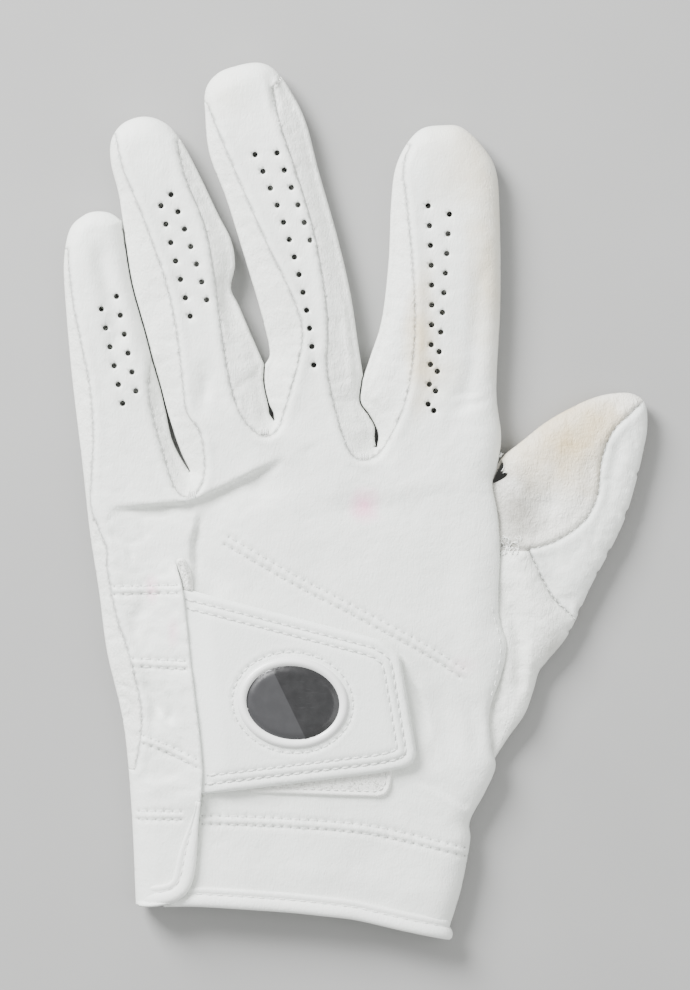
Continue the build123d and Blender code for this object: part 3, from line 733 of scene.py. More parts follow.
# Stains and patches of painted shade on the leather: centre and half size in millimetres, colour, strength
BEIGE = paint(0.54, 0.38, 0.13)
# grey used both for dirt and for painted shade
GREY_DIRT_AND_SHADE = paint(0.25, 0.235, 0.20)
PINK = paint(0.92, 0.42, 0.60)
HAND_STAINS = [
    ((29.0, 86.0), (13.0, 20.0), BEIGE, 0.30),
    ((33.0, 60.0), (6.0, 30.0), BEIGE, 0.42),
    ((16.5, 40.0), (5.0, 22.0), BEIGE, 0.60),
    ((21.0, 32.0), (7.0, 9.0), BEIGE, 0.18),
    ((2.3, -1.0), (4.6, 5.0), PINK, 0.85),
    ((4.5, -4.0), (3.0, 2.0), PINK, 0.16),
    ((26.5, -41.0), (4.5, 3.0), PINK, 0.16),
    ((-50.8, -22.0), (2.0, 4.5), PINK, 0.45),
    ((-45.6, -33.0), (1.8, 4.0), PINK, 0.32),
    ((-33.0, 101.0), (8.0, 7.0), BEIGE, 0.10),
]
# painted shade on the heel: the shadow in the thumb's lower corner and the shadow along the fold beside it
HEEL_PAINTED_SHADE = [
    ((48.5, -37.0), (5.0, 5.0), GREY_DIRT_AND_SHADE, 0.30),
    ((40.6, -44.0), (2.2, 12.0), GREY_DIRT_AND_SHADE, 0.14),
]
# the two grey patches by the thumb's root are painted shadow of the hand's edge over the thumb; the beige
# patches are stains
THUMB_STAINS_AND_SHADE = [
    ((52.0, 14.0), (18.0, 14.0), BEIGE, 0.72),
    ((58.0, 22.0), (16.0, 9.0), BEIGE, 0.44),
    ((40.5, -3.0), (10.0, 12.0), GREY_DIRT_AND_SHADE, 0.72),
    ((39.0, -12.0), (4.0, 3.0), GREY_DIRT_AND_SHADE, 0.80),
    ((56.0, -30.0), (4.0, 4.0), BEIGE, 0.42),
    ((64.0, 4.0), (5.0, 16.0), GREY_DIRT_AND_SHADE, 0.16),
]


def with_stains_and_shade(tree, place, colour, stains_and_shade):
    """Colour with ragged soft-edged patches over it: stains, and patches of painted shade."""
    ragged = clouds(tree, place, 130.0, 6.0)
    for (x, y), (across, along), tint, strength in stains_and_shade:
        flat = stretched(tree, place, (1.0 / (across * MM), 1.0 / (along * MM), 0.0))
        centre = (x / across, y / along, 0.0)
        apart = shader_node(tree, "ShaderNodeVectorMath", {0: flat, 1: centre}, operation="DISTANCE")
        gap = apart.outputs["Value"]
        reach = shader_node(tree, "ShaderNodeMath", {0: gap, 1: ragged}, operation="ADD").outputs[0]
        colour = mixed(tree, ranged(tree, reach, 1.55, 0.55, 0.0, strength), colour, tint)
    return colour


def leather(name, base, deep, stains_and_shade=(), grain=1.0):
    """Soft worn leather: pores, fine creases, uneven colour, stains and patches of painted shade, painted
    shade along the seams and in the needle holes.
    """
    material, tree, shader, place = new_material(
        name, Specular_IOR_Level=0.35, Sheen_Weight=0.12, Sheen_Roughness=0.45
    )
    cloud = clouds(tree, place, 55.0, 5.0)
    mottle = clouds(tree, place, 420.0, 4.0)
    pores = shader_node(tree, "ShaderNodeTexVoronoi", {"Vector": place, "Scale": 1500.0}).outputs["Distance"]
    creases = clouds(tree, stretched(tree, place, (1.0, 0.34, 1.0)), 900.0, 6.0, 1.8)
    colour = mixed(tree, ranged(tree, cloud, 0.3, 0.7), base, deep)
    darker = paint(*(0.93 * c for c in deep[:3]))
    colour = mixed(tree, ranged(tree, mottle, 0.35, 0.75, 0.0, 0.22), colour, darker)
    colour = with_stains_and_shade(tree, place, colour, stains_and_shade)
    # painted shade: grey along the seams, dark in the needle holes
    painted_seam_shade = shader_node(tree, "ShaderNodeAttribute", attribute_name="painted_seam_shade").outputs["Fac"]
    colour = mixed(tree, ranged(tree, painted_seam_shade, 0.0, 1.0), colour, paint(0.10, 0.10, 0.10))
    tree.links.new(colour, shader.inputs["Base Color"])
    tree.links.new(ranged(tree, mottle, 0.3, 0.7, 0.46, 0.60), shader.inputs["Roughness"])
    bumped(tree, shader, [(creases, 0.55 * grain, 0.55), (pores, 0.35 * grain, 0.20)])
    return material


def fibre(name, base, deep, stretch=(1.0, 1.0, 1.0), scale=2200.0, roughness=0.85, depth=0.12):
    """Thread, elastic or pile: fine fibres with uneven colour."""
    material, tree, shader, place = new_material(name, Roughness=roughness, Sheen_Weight=0.3)
    fine = clouds(tree, stretched(tree, place, stretch), scale, 3.0)
    cloud = clouds(tree, place, 160.0, 4.0)
    colour = mixed(tree, ranged(tree, fine, 0.3, 0.7), deep, base)
    colour = mixed(tree, ranged(tree, cloud, 0.4, 0.8, 0.0, 0.3), colour, deep)
    tree.links.new(colour, shader.inputs["Base Color"])
    bumped(tree, shader, [(fine, 0.6, depth)])
    return material


def moulded(name, base, worn_and_lit, roughness, coat, scratch, facet=None):
    """Moulded plastic: faint flow marks, fine scratches, duller patches, and, if it has facets, a painted
    highlight that makes one facet paler.
    """
    material, tree, shader, place = new_material(name, Coat_Weight=coat, Coat_Roughness=0.15)
    haze = clouds(tree, place, 420.0, 6.0)
    hairs = clouds(tree, stretched(tree, place, (1.0, 9.0, 1.0)), 260.0, 6.0, 0.5)
    colour = mixed(tree, ranged(tree, haze, 0.35, 0.75, 0.0, 0.12), base, worn_and_lit)
    if facet:
        way, edge = facet
        across = shader_node(tree, "ShaderNodeVectorMath", {0: place, 1: way}, operation="DOT_PRODUCT")
        # painted highlight: the facet on one side of the line is painted paler, as if it caught the light
        painted_highlight = ranged(tree, across.outputs["Value"], edge + 0.0001, edge - 0.0001, 0.0, 0.8)
        colour = mixed(tree, painted_highlight, colour, worn_and_lit)
    colour = mixed(tree, ranged(tree, hairs, 0.62, 0.72, 0.0, scratch), colour, worn_and_lit)
    tree.links.new(colour, shader.inputs["Base Color"])
    tree.links.new(ranged(tree, haze, 0.3, 0.7, roughness, roughness + 0.14), shader.inputs["Roughness"])
    bumped(tree, shader, [(hairs, 0.12, 0.05), (haze, 0.15, 0.08)])
    return material


WHITE = paint(0.855, 0.875, 0.845)
WHITE_DEEP = paint(0.80, 0.825, 0.79)
back_leather = leather("back_leather", WHITE, WHITE_DEEP, HAND_STAINS, 0.55)
# the patches on the heel are painted shade
palm_leather = leather("palm_leather", paint(0.85, 0.865, 0.83), paint(0.79, 0.805, 0.765), HEEL_PAINTED_SHADE, 1.0)
gusset_leather = leather(
    "fourchette_leather", paint(0.845, 0.86, 0.83), paint(0.775, 0.795, 0.755), HAND_STAINS[2:3], 0.9
)
thumb_leather = leather("thumb_leather", paint(0.84, 0.84, 0.80), paint(0.75, 0.745, 0.69), THUMB_STAINS_AND_SHADE, 1.3)
binding_leather = leather("binding", paint(0.87, 0.885, 0.86), paint(0.825, 0.845, 0.815), (), 0.5)
tab_leather = leather("tab_leather", paint(0.86, 0.885, 0.86), paint(0.82, 0.85, 0.82), (), 0.4)
thread_material = fibre("thread", paint(0.86, 0.87, 0.85), paint(0.66, 0.67, 0.65), scale=3000.0)
elastic_material = fibre("elastic", paint(0.78, 0.79, 0.76), paint(0.60, 0.61, 0.59), (1.0, 6.0, 1.0), 900.0)
pile_material = fibre(
    "loop_pile", paint(0.88, 0.89, 0.86), paint(0.76, 0.765, 0.73), scale=2600.0, depth=0.25
)
hook_material = fibre(
    "hook_pile", paint(0.80, 0.81, 0.79), paint(0.58, 0.59, 0.57), scale=1800.0, roughness=0.5
)
rim_material = moulded("badge_rim", paint(0.84, 0.85, 0.84), paint(0.74, 0.75, 0.74), 0.26, 0.2, 0.2)
FACET_TURN = 0.45  # radians from X to the way across the badge's two facets
FACET_WAY = (math.cos(FACET_TURN), math.sin(FACET_TURN), 0.0)
# the insert's lower-left facet is painted paler as a painted highlight
insert_material = moulded(
    "badge_insert", paint(0.012, 0.012, 0.013), paint(0.040, 0.040, 0.043),
    0.28, 0.1, 0.3, (FACET_WAY, -0.0369),
)


# ---------------------------------------------------------------- painted shade along seams and in needle holes
def paint_seam_shade(obj, points, used, lines=(), spots=(), strength=0.42, width=0.19):
    """Paints shade into the leather: grey along the seams and dark in the needle holes."""
    value = np.zeros(len(points))
    for line in lines:
        value = np.maximum(value, strength * np.exp(-((distance(points, line) / width) ** 2)))
    for spot in spots:
        near = np.abs(points - spot).max(1) < 1.0
        value[near] = np.maximum(value[near], 0.8 * np.exp(-((points[near] - spot) ** 2).sum(1) / 0.22**2))
    attribute = obj.data.attributes.new("painted_seam_shade", "FLOAT", "POINT")
    attribute.data.foreach_set("value", value[used].astype(np.float32))


def pit_rings(spots, radius=0.42):
    """Mesh points round each needle hole and at its middle."""
    return np.vstack([np.vstack([ring_of(spot, radius, 6), [spot]]) for spot in spots])


def leather_piece(name, points, faces, height, material, node, slot, lines, spots=()):
    """Leather sheet of the glove, with painted shade along its seams."""
    obj = sheet_object(name, points, faces, height)
    paint_seam_shade(obj, points, np.unique(faces), lines, spots)
    finish_piece(obj, "glove", material, node, slot=slot)


# ---------------------------------------------------------------- leather of the hand
all_seams = list(seams.values())
holes = [ring_of(p, HOLE_RADIUS, 12) for p in perforations]
points, faces = triangulate(
    hand_outline, all_seams, holes, finger_rim,
    np.vstack([pit_rings(needle_points), pit_rings(perforations, 1.1)]),
)
height = hand_top(points)
centres = points[faces].mean(1)
region_of = np.full(len(faces), "back", dtype=object)
for name, loop in regions.items():
    region_of[inside(centres, loop)] = name

# the flap's other side: leather that carries on under the strip, seen through the slit
under_left = slit_other_side[::4][::-1] - (6.0, 0.0)
under_outline = np.vstack([slit_other_side, [(-40.8, -101.0), (-47.0, -101.0)], under_left])
under_points, under_faces = triangulate(under_outline)
under_depth = slit_x(under_points[:, 1]) - under_points[:, 0]
under_height = under_strip(under_points) - 1.1 * soft_step(under_depth, -0.2, 1.2)

back_faces = faces[region_of == "back"]
flat_back = np.column_stack([points, height])
flat_under = np.column_stack([under_points, under_height])
back_set = joined((flat_back, back_faces), (flat_under, under_faces))
leather_piece(
    "back_panel_leather", back_set[0][:, :2], back_set[1], back_set[0][:, 2], back_leather,
    "back_panel", "back_leather", all_seams, needle_points,
)
for name in ("ring_little", "middle_ring", "index_middle"):
    leather_piece(
        f"fourchette_{name}_leather", points, faces[region_of == name], height, gusset_leather,
        f"fourchette_{name}", "fourchette_leather", all_seams,
    )

# underside and thumb
low_points, low_faces = triangulate(whole_outline, (), [crotch_hole], whole_rim, spacing=1.3)
low_height = palm_bottom(low_points)
low_centres = low_points[low_faces].mean(1)
under_thumb = inside(low_centres, thumb_outline) & (low_centres[:, 0] > 37.0) & (low_centres[:, 1] > -30.0)

thumb_points, thumb_faces = triangulate(
    thumb_outline, [thumb_seam, thumb_base_seam], [crotch_hole], thumb_edge, spacing=0.75
)
thumb_height = thumb_top(thumb_points)
thumb_centres = thumb_points[thumb_faces].mean(1)
outer_loop = np.vstack([thumb_seam[:-12], thumb_base_seam, [(85.0, -30.0), (85.0, 35.0)]])
outer_side = inside(thumb_centres, outer_loop)
heel_loop = np.vstack([[(20.0, -12.4)], thumb_base_seam, [(70.0, -45.0), (45.0, -80.0), (20.0, -80.0)]])
heel_side = ~outer_side & inside(thumb_centres, heel_loop)
front_side = ~outer_side & ~heel_side

flat_low = np.column_stack([low_points, low_height])
flat_thumb = np.column_stack([thumb_points, thumb_height])
palm_set = joined((flat_back, faces[region_of == "ulnar"]), (flat_low, low_faces[~under_thumb][:, ::-1]))
palm_set = joined(palm_set, (flat_thumb, thumb_faces[heel_side]))
front_set = joined((flat_thumb, thumb_faces[front_side]), (flat_low, low_faces[under_thumb][:, ::-1]))
thumb_seams = [thumb_seam, thumb_base_seam, closed_line(crotch_hole)]
outer_set = (flat_thumb, thumb_faces[outer_side])
for name, (vertices, patch), material, node, slot in (
    ("palm_leather_wrap", palm_set, palm_leather, "palm_panel", "palm_leather"),
    ("thumb_front_leather", front_set, thumb_leather, "thumb_front_panel", "palm_leather"),
    ("thumb_back_leather", outer_set, back_leather, "thumb_back_panel", "back_leather"),
):
    leather_piece(
        name, vertices[:, :2], patch, vertices[:, 2], material, node, slot, all_seams + thumb_seams
    )


# ---------------------------------------------------------------- strands, bands and plies
def strands(name, paths, radius, sides=5, flatten=1.0):
    """One object made of many thin strands; each path is a row of 3-D points."""
    turn = np.linspace(0.0, 2 * math.pi, sides, endpoint=False)
    vertices, faces = [], []
    for path in paths:
        path = np.asarray(path)
        along = np.gradient(path, axis=0)
        along /= np.linalg.norm(along, axis=1)[:, None] + 1e-9
        side = np.cross(along, (0.0, 0.0, 1.0)) + (1e-6, 0.0, 0.0)
        side /= np.linalg.norm(side, axis=1)[:, None]
        lift = np.cross(side, along)
        reach = np.broadcast_to(radius, len(path))[:, None, None]
        ring = path[:, None] + reach * (
            np.cos(turn)[None, :, None] * side[:, None]
            + flatten * np.sin(turn)[None, :, None] * lift[:, None]
        )
        base = len(vertices) * sides
        for i in range(len(path) - 1):
            for k in range(sides):
                a, b = base + i * sides + k, base + i * sides + (k + 1) % sides
                faces.append((a, a + sides, b + sides, b))
        faces.append(tuple(range(base, base + sides)))
        faces.append(tuple(range(base + len(path) * sides - 1, base + (len(path) - 1) * sides - 1, -1)))
        vertices.extend(ring)
    return make_mesh(name, np.vstack(vertices), faces)


STITCH_SHAPE = np.array([-1.0, -0.8, -0.35, 0.35, 0.8, 1.0]) / 2
STITCH_GIRTH = np.array([0.25, 0.8, 1.0, 1.0, 0.8, 0.25])
STITCH_ARCH = np.array([-0.34, -0.05, 0.08, 0.08, -0.05, -0.34])


def thread_piece(name, paths, radius, node, body="glove", sides=5, flatten=0.8):
    """Stitches or loose ends, thinner at both ends, that stand for a node of thread."""
    obj = strands(name, paths, radius * STITCH_GIRTH, sides, flatten)
    finish_piece(obj, body, thread_material, node, slot="thread")


def stitch_paths(row, height, length=0.72, lift=0.05):
    """One stitch between each two needle holes of a row."""
    ends = np.column_stack([row, height(row)])
    half_way = (ends[1:] + ends[:-1]) / 2
    along = (ends[1:] - ends[:-1]) * length
    paths = half_way[:, None] + along[:, None] * STITCH_SHAPE[None, :, None]
    paths[:, :, 2] += STITCH_ARCH + lift
    return list(paths)


def swept(name, places, outward, profile, closed=False, girth=1.0):
    """Band of one profile of (outward, up) points along a row of places, scaled by its girth."""
    along = np.gradient(places, axis=0)
    along /= np.linalg.norm(along, axis=1)[:, None]
    up = np.cross(outward, along)
    up /= np.linalg.norm(up, axis=1)[:, None]
    profile = np.array(profile)[None] * np.broadcast_to(girth, len(places))[:, None, None]
    vertices = places[:, None] + profile[:, :, :1] * outward[:, None] + profile[:, :, 1:] * up[:, None]
    count, sides = len(places), profile.shape[1]
    faces = []
    for i in range(count - (0 if closed else 1)):
        for k in range(sides):
            a, b = i * sides + k, i * sides + (k + 1) % sides
            c, d = ((i + 1) % count) * sides + (k + 1) % sides, ((i + 1) % count) * sides + k
            faces.append((a, b, c, d))
    if not closed:
        faces += [tuple(range(sides - 1, -1, -1)), tuple(range((count - 1) * sides, count * sides))]
    return make_mesh(name, vertices.reshape(-1, 3), faces)


def rounded_outline(corners, inset=0.0, step=0.8):
    """Closed outline from corners given as x, y and radius, or the same moved inwards."""
    spots = np.array([c[:2] for c in corners], float)
    count = len(spots)
    lines = []
    for i in range(count):
        a, b = spots[i], spots[(i + 1) % count]
        along = (b - a) / np.linalg.norm(b - a)
        inward = np.array([along[1], -along[0]])
        lines.append((a + inward * inset, along))
    rows = []
    for i, (_, _, radius) in enumerate(corners):
        (p, u), (q, v) = lines[i - 1], lines[i]
        t = ((q - p)[0] * v[1] - (q - p)[1] * v[0]) / (u[0] * v[1] - u[1] * v[0])
        here = p + u * t
        radius = max(radius - inset, 0.6) if radius else 0.0
        half = math.acos(float(np.clip(-u @ v, -1.0, 1.0))) / 2
        reach = radius / math.tan(half)
        t = np.zeros((1, 1))
        if radius:
            t = np.linspace(0.0, 1.0, max(2, int(radius * (math.pi - 2 * half) / step) + 2))[:, None]
        start, end = here - u * reach, here + v * reach
        rows.append((1 - t) ** 2 * start + 2 * t * (1 - t) * here + t**2 * end)
    loop = np.vstack(rows)
    dense = []
    for a, b in zip(loop, np.roll(loop, -1, axis=0)):
        pieces = max(1, int(np.linalg.norm(b - a) / step))
        dense += [a + (b - a) * k / pieces for k in range(pieces)]
    return np.array(dense)


def ply(name, outline, top, bottom, rounding=0.5, lines=(), dots=None, spacing=GRID):
    """Piece between two surfaces, with a rounded edge, and the plan position of each of its points."""
    flat, faces = triangulate(outline, lines, (), outline, dots, spacing)
    d = distance(flat, closed_line(outline))
    high, low = top(flat), bottom(flat)
    mid = (high + low) / 2
    swell = round_edge(d, rounding)
    count = len(flat)
    on_edge = d < 1e-3
    other = np.where(on_edge, np.arange(count), count + np.arange(count))
    vertices = np.vstack(
        [
            np.column_stack([flat, mid + (high - mid) * swell]),
            np.column_stack([flat, mid - (mid - low) * swell]),
        ]
    )
    obj = make_mesh(name, vertices, np.vstack([faces, other[faces][:, ::-1]]))
    return obj, np.vstack([flat, flat])


def paint_seam_shade_on_ply(obj, plan, lines=(), spots=()):
    """Paints shade along seams and in needle holes on a piece made by ply."""
    paint_seam_shade(obj, plan, np.arange(len(plan)), lines, spots)


# ---------------------------------------------------------------- stitching on the glove
THREAD_RADIUS = 0.24
for name, rows in stitch_rows.items():
    paths = [p for row in rows for p in stitch_paths(row, hand_top)]
    thread_piece(f"{name}_thread", paths, THREAD_RADIUS, name, sides=6)

SEAM_PITCH = 1.7
finger_rows = [smooth_line(line, SEAM_PITCH) for line in (ULNAR_SEAM, LITTLE_SEAM, RING_SEAM, INDEX_SEAM)]
paths = [p for row in finger_rows for p in stitch_paths(row, hand_top, 0.6, -0.06)]
thread_piece("finger_seam_thread", paths, 0.08, "finger_seam_stitching")
thumb_rows = [smooth_line(THUMB_SEAM[:-1], SEAM_PITCH), smooth_line(THUMB_BASE_SEAM, SEAM_PITCH)]
paths = [p for row in thumb_rows for p in stitch_paths(row, thumb_top, 0.6, -0.02)]

EDGE_ROW = [(34.0, -26.0), (35.1, -30.5), (36.4, -36.4), (35.6, -43.0), (33.8, -49.5)]
paths += stitch_paths(smooth_line(EDGE_ROW, 2.6), hand_top, 0.62, 0.0)

# gathered knot where the thumb seams meet at the hand, and loose ends at the crotch
random.seed(11)
KNOT = np.array([38.9, -11.6])
KNOT_STRANDS = 26
for _ in range(KNOT_STRANDS):
    turn = random.uniform(0.0, math.pi)
    reach = random.uniform(0.8, 2.0)
    start = KNOT + (random.uniform(-2.4, 2.0), random.uniform(-2.5, 2.5))
    swing = np.array([[math.cos(turn + k * 0.5), math.sin(turn + k * 0.5)] for k in range(6)]) * reach / 3
    line = start + np.cumsum(swing, axis=0)
    arch = 0.35 * np.sin(np.linspace(0.0, math.pi, 6))
    paths.append(np.column_stack([line, thumb_top(line) + arch - 0.1]))
LOOSE_ENDS = [  # at the gap in the crotch: where each starts and ends, and how far it bows
    ((35.8, 10.6), (37.2, 11.9), 0.3), ((36.2, 10.9), (36.4, 12.2), -0.3),
    ((37.3, 9.2), (36.5, 7.4), 0.3), ((38.2, 7.0), (36.9, 6.9), -0.3),
]
for start, end, bow in LOOSE_ENDS:
    line = np.array(bowed(start, end, len(STITCH_GIRTH), bow))
    paths.append(np.column_stack([line, thumb_top(line) + 0.15]))
thread_piece("thumb_thread", paths, 0.14, "thumb_stitching", flatten=0.9)

# bar tacks: short stitches side by side across the bottom of each U between fingers
TACKS = [(-40.9, 1.6, 0.2), (-22.9, 17.4, 0.0), (2.1, 11.0, 0.1)]
TACK_STITCHES = 5
TACK_LENGTH = 1.9
TACK_PITCH = 0.42
paths = []
for x, y, lean in TACKS:
    for k in range(TACK_STITCHES):
        t = np.linspace(-0.5, 0.5, 6)
        line = np.column_stack([x + (k - 2) * TACK_PITCH + t * lean, y + t * TACK_LENGTH])
        paths.append(np.column_stack([line, bare_hand(line) + 0.25 * np.cos(t * math.pi) - 0.02]))
thread_piece("crotch_thread", paths, 0.2, "crotch_stitching")

# ---------------------------------------------------------------- binding round the cuff and the flap
BINDING = [
    (-4.3, -0.1), (-4.2, 0.32), (-3.6, 0.55), (-2.9, 0.42), (-2.55, 0.18), (-2.2, 0.42), (-1.5, 0.80),
    (-0.6, 0.92), (0.25, 0.70), (0.72, 0.1), (0.62, -0.62), (0.1, -1.15), (-0.8, -1.3), (-3.4, -1.2),
    (-3.6, -0.8), (-0.8, -0.75),
]
BINDING_IN = 0.35  # the roll's middle lies this far inside the leather's edge
GROOVE = (-2.55, 0.18)
BAND_STEP = 1.1
CORNER = 4.0  # how far from each side the band starts to turn under
CUFF_EDGE = np.array([(-55.1, -101.3), (-47.6, -101.2), *CUFF_LINE[::-1], (24.4, -109.8)])


def cuff_y(x):
    """Y of the cuff's edge at each X."""
    return np.interp(x, CUFF_EDGE[:, 0], CUFF_EDGE[:, 1])


def smoothed(row, times=3):
    """Row of points with its corners eased."""
    row = np.array(row, float)
    for _ in range(times):
        row[1:-1] = (row[:-2] + 2 * row[1:-1] + row[2:]) / 4
    return row


def evenly(row, step):
    """Row of 3-D points resampled at an even step."""
    length = np.concatenate([[0.0], np.cumsum(np.linalg.norm(np.diff(row, axis=0), axis=1))])
    wanted = np.linspace(0.0, length[-1], int(length[-1] / step) + 1)
    return np.column_stack([np.interp(wanted, length, row[:, k]) for k in range(3)])


def on_cuff(x, z):
    """Places along the cuff's edge at each X, at the given heights."""
    return np.column_stack([x, cuff_y(x) + BINDING_IN, z])


CUFF_LEFT, CUFF_RIGHT = -54.7, 23.9
whole_turn, rest_of_turn = np.linspace(0.0, math.pi / 2, 9), np.linspace(0.2, math.pi / 2, 8)
top_x = np.concatenate([np.arange(-48.0, 20.0, 1.2), CUFF_RIGHT - CORNER * (1 - np.sin(whole_turn))])
top_z = under_strip(np.column_stack([top_x, cuff_y(top_x) + 1.2]))
top_z = top_z - 0.9 * (1 - soft_step(top_x, -44.0, -40.0))
low_x = np.concatenate([
    CUFF_RIGHT - CORNER * (1 - np.cos(rest_of_turn)),
    np.arange(19.0, -50.0, -1.2),
    CUFF_LEFT + CORNER * (1 - np.sin(rest_of_turn)),
])
low_z = palm_bottom(np.column_stack([low_x, cuff_y(low_x) + 1.2])) + 0.9
FLAP_EDGE = [
    (-54.7, -101.1), *FLAP_CORNER[::-1][1:],
    (-40.3, -89.3), (-39.8, -84.0), (-39.2, -79.0), (-38.8, -75.5),
]
flap_plan = smooth_line(FLAP_EDGE, 1.2)[1:]
flap_z = bare_hand(flap_plan)
flap_z[:4] = np.minimum(flap_z[:4], 7.6)
row_3d = np.vstack([
    on_cuff(top_x, top_z),
    on_cuff(low_x, low_z),
    np.column_stack([flap_plan[:, 0], flap_plan[:, 1] + BINDING_IN, flap_z]),
])
row_3d = smoothed(evenly(smoothed(row_3d), BAND_STEP), 4)
plan_way = np.gradient(row_3d[:, :2], axis=0)
plan_way /= np.linalg.norm(plan_way, axis=1)[:, None] + 1e-9
leftmost = int(np.argmin(row_3d[:, 0]))
on_flap = np.arange(len(row_3d)) > leftmost + 1
off_flap = np.column_stack([plan_way[:, 1], -plan_way[:, 0], np.zeros(len(row_3d))])
outward = smoothed(np.where(on_flap[:, None], off_flap, (0.06, -1.0, 0.0)))
outward /= np.linalg.norm(outward, axis=1)[:, None]
still_to_go = np.arange(len(row_3d))[::-1] * BAND_STEP
taper = 0.25 + 0.75 * soft_step(still_to_go, 0.0, 17.0)
band = swept("cuff_binding_band", row_3d, outward, BINDING, girth=taper)
finish_piece(band, "glove", binding_leather, "cuff_binding", "flap_binding", slot="binding")
groove_way = np.gradient(row_3d, axis=0)
groove_way /= np.linalg.norm(groove_way, axis=1)[:, None]
groove_up = np.cross(outward, groove_way)
in_groove = row_3d + taper[:, None] * (GROOVE[0] * outward + (GROOVE[1] + 0.1) * groove_up)
groove_row = evenly(in_groove[:-6], 2.6)
paths = []
for a, b in zip(groove_row[:-1], groove_row[1:]):
    path = (a + b) / 2 + (b - a) * 0.62 * STITCH_SHAPE[:, None]
    paths.append(path + np.outer(STITCH_ARCH * 0.4, (0.0, 0.0, 1.0)))
thread_piece("binding_thread", paths, 0.2, "binding_stitching")

# ---------------------------------------------------------------- elastics
def along_row(row, low, high):
    """Closed plan loop between two offsets from a row."""
    row = np.array(row, float)
    side = normals_of(row)
    return rounded_outline([(x, y, 0.0) for x, y in np.vstack([row + side * high, (row + side * low)[::-1]])])


def ribs(points, pitch=1.1):
    """Fine ribs across an elastic."""
    return 0.12 * np.sin(points[:, 1] * 2 * math.pi / pitch)


for name, row, half in (("wrist_elastic", CUFF_ROW, 3.0), ("back_elastic", DIAGONAL_ROW, 3.0)):
    row = np.array(row, float) - (0.0, 1.0)
    obj, _ = ply(
        f"{name}_band", along_row(row, -half, half), lambda p: bare_hand(p) - 1.2 + ribs(p),
        lambda p: bare_hand(p) - 1.9 + ribs(p), 0.4, spacing=0.6,
    )
    finish_piece(obj, "glove", elastic_material, name, slot="elastic")

ROOT_TOP, ROOT_BOTTOM = np.array([-43.05, -21.6]), np.array([-37.75, -73.0])
root_way = (ROOT_BOTTOM - ROOT_TOP) / np.linalg.norm(ROOT_BOTTOM - ROOT_TOP)
root_side = np.array([-root_way[1], root_way[0]])  # points right, over the tab


def from_root(points):
    """How far each plan point is on the tab's side of its root line."""
    return (points - ROOT_TOP) @ root_side


elastic_loop = rounded_outline([
    (*(end + reach * root_side), 0.4)
    for end, reach in ((ROOT_TOP, -2.2), (ROOT_TOP, 1.8), (ROOT_BOTTOM, 1.8), (ROOT_BOTTOM, -2.2))
])
obj, _ = ply(
    "tab_elastic_band", elastic_loop, lambda p: under_strip(p) + 0.55 + ribs(p),
    raised(under_strip, -0.1), 0.3, spacing=0.6,
)
finish_piece(obj, "glove", elastic_material, "tab_elastic", slot="elastic")

# ---------------------------------------------------------------- touch fastener patches
LOOP_PATCH = [
    (-27.0, -41.5, 2.0), (6.0, -45.0, 3.0), (9.4, -66.0, 10.0), (8.6, -74.2, 4.0), (-27.0, -72.9, 2.0),
]
loop_outline = rounded_outline(LOOP_PATCH)
loop_rim = closed_line(loop_outline)


def loop_top(points):
    """Woven pad with a raised sewn edge."""
    edge = distance(points, loop_rim)
    weave = 0.10 * np.sin(points[:, 0] * 5.2) * np.sin(points[:, 1] * 4.6)
    border = 0.26 * np.exp(-(((edge - 0.6) / 0.45) ** 2)) - 0.12 * np.exp(-(((edge - 1.5) / 0.4) ** 2))
    return bare_hand(points) + 0.75 + border + np.where(edge > 1.8, weave, 0.0)


obj, _ = ply("loop_patch_pad", loop_outline, loop_top, raised(bare_hand, -0.1), 0.5, spacing=0.45)
finish_piece(obj, "glove", pile_material, "loop_patch", slot="loop_pile")


def scattered(loop, count, margin, seed):
    """Random places inside a plan loop, away from its edge."""
    rng = np.random.default_rng(seed)
    low, high = loop.min(0), loop.max(0)
    spots = rng.uniform(low, high, (count * 4, 2))
    spots = spots[inside(spots, loop)]
    spots = spots[distance(spots, closed_line(loop)) > margin]
    return spots[:count], rng.uniform(0.0, math.pi, count), rng.uniform(0.7, 1.2, count)


def arches(spots, turns, sizes, height, radius=0.3, sweep=1.0, down=False):
    """Small loops or hooks standing on a surface."""
    t = np.linspace(0.0, math.pi * sweep, 6)
    base = height(spots)
    paths = []
    for (x, y), turn, size, z in zip(spots, turns, sizes, base):
        out = radius * size * np.cos(t)
        rise = radius * size * np.sin(t) * (-1.0 if down else 1.0)
        paths.append(np.column_stack([x + out * math.cos(turn), y + out * math.sin(turn), z + rise]))
    return paths


LOOPS = 1900
spots, turns, sizes = scattered(loop_outline, LOOPS, 1.9, 3)
pile = strands("loop_patch_loops", arches(spots, turns, sizes, raised(loop_top, -0.05), 0.27), 0.05, 3)
finish_piece(pile, "glove", pile_material, "loop_patch", slot="loop_pile")

patch_row = rounded_outline(LOOP_PATCH, 1.5)
patch_row = evenly(np.column_stack([patch_row, np.zeros(len(patch_row))]), 1.9)[:, :2]
paths = stitch_paths(patch_row, loop_top, 0.7, 0.1)
thread_piece("loop_patch_thread", paths, 0.16, "loop_patch_stitching")

# fuzzy reinforcement at the top end of the slit: a soft ridge with its own short pile
PAD_LINE = [(-44.0, -15.0), (-43.2, -15.6), (-42.5, -17.4), (-42.0, -20.0), (-41.8, -22.5)]
pad_line = smooth_line(PAD_LINE, 0.6)
PAD = [
    (-45.0, -14.6, 0.9), (-43.0, -14.0, 1.0), (-41.0, -17.4, 1.0),
    (-40.4, -22.5, 0.5), (-43.0, -22.5, 0.5), (-43.9, -18.0, 0.8),
]
pad_outline = rounded_outline(PAD, step=0.5)


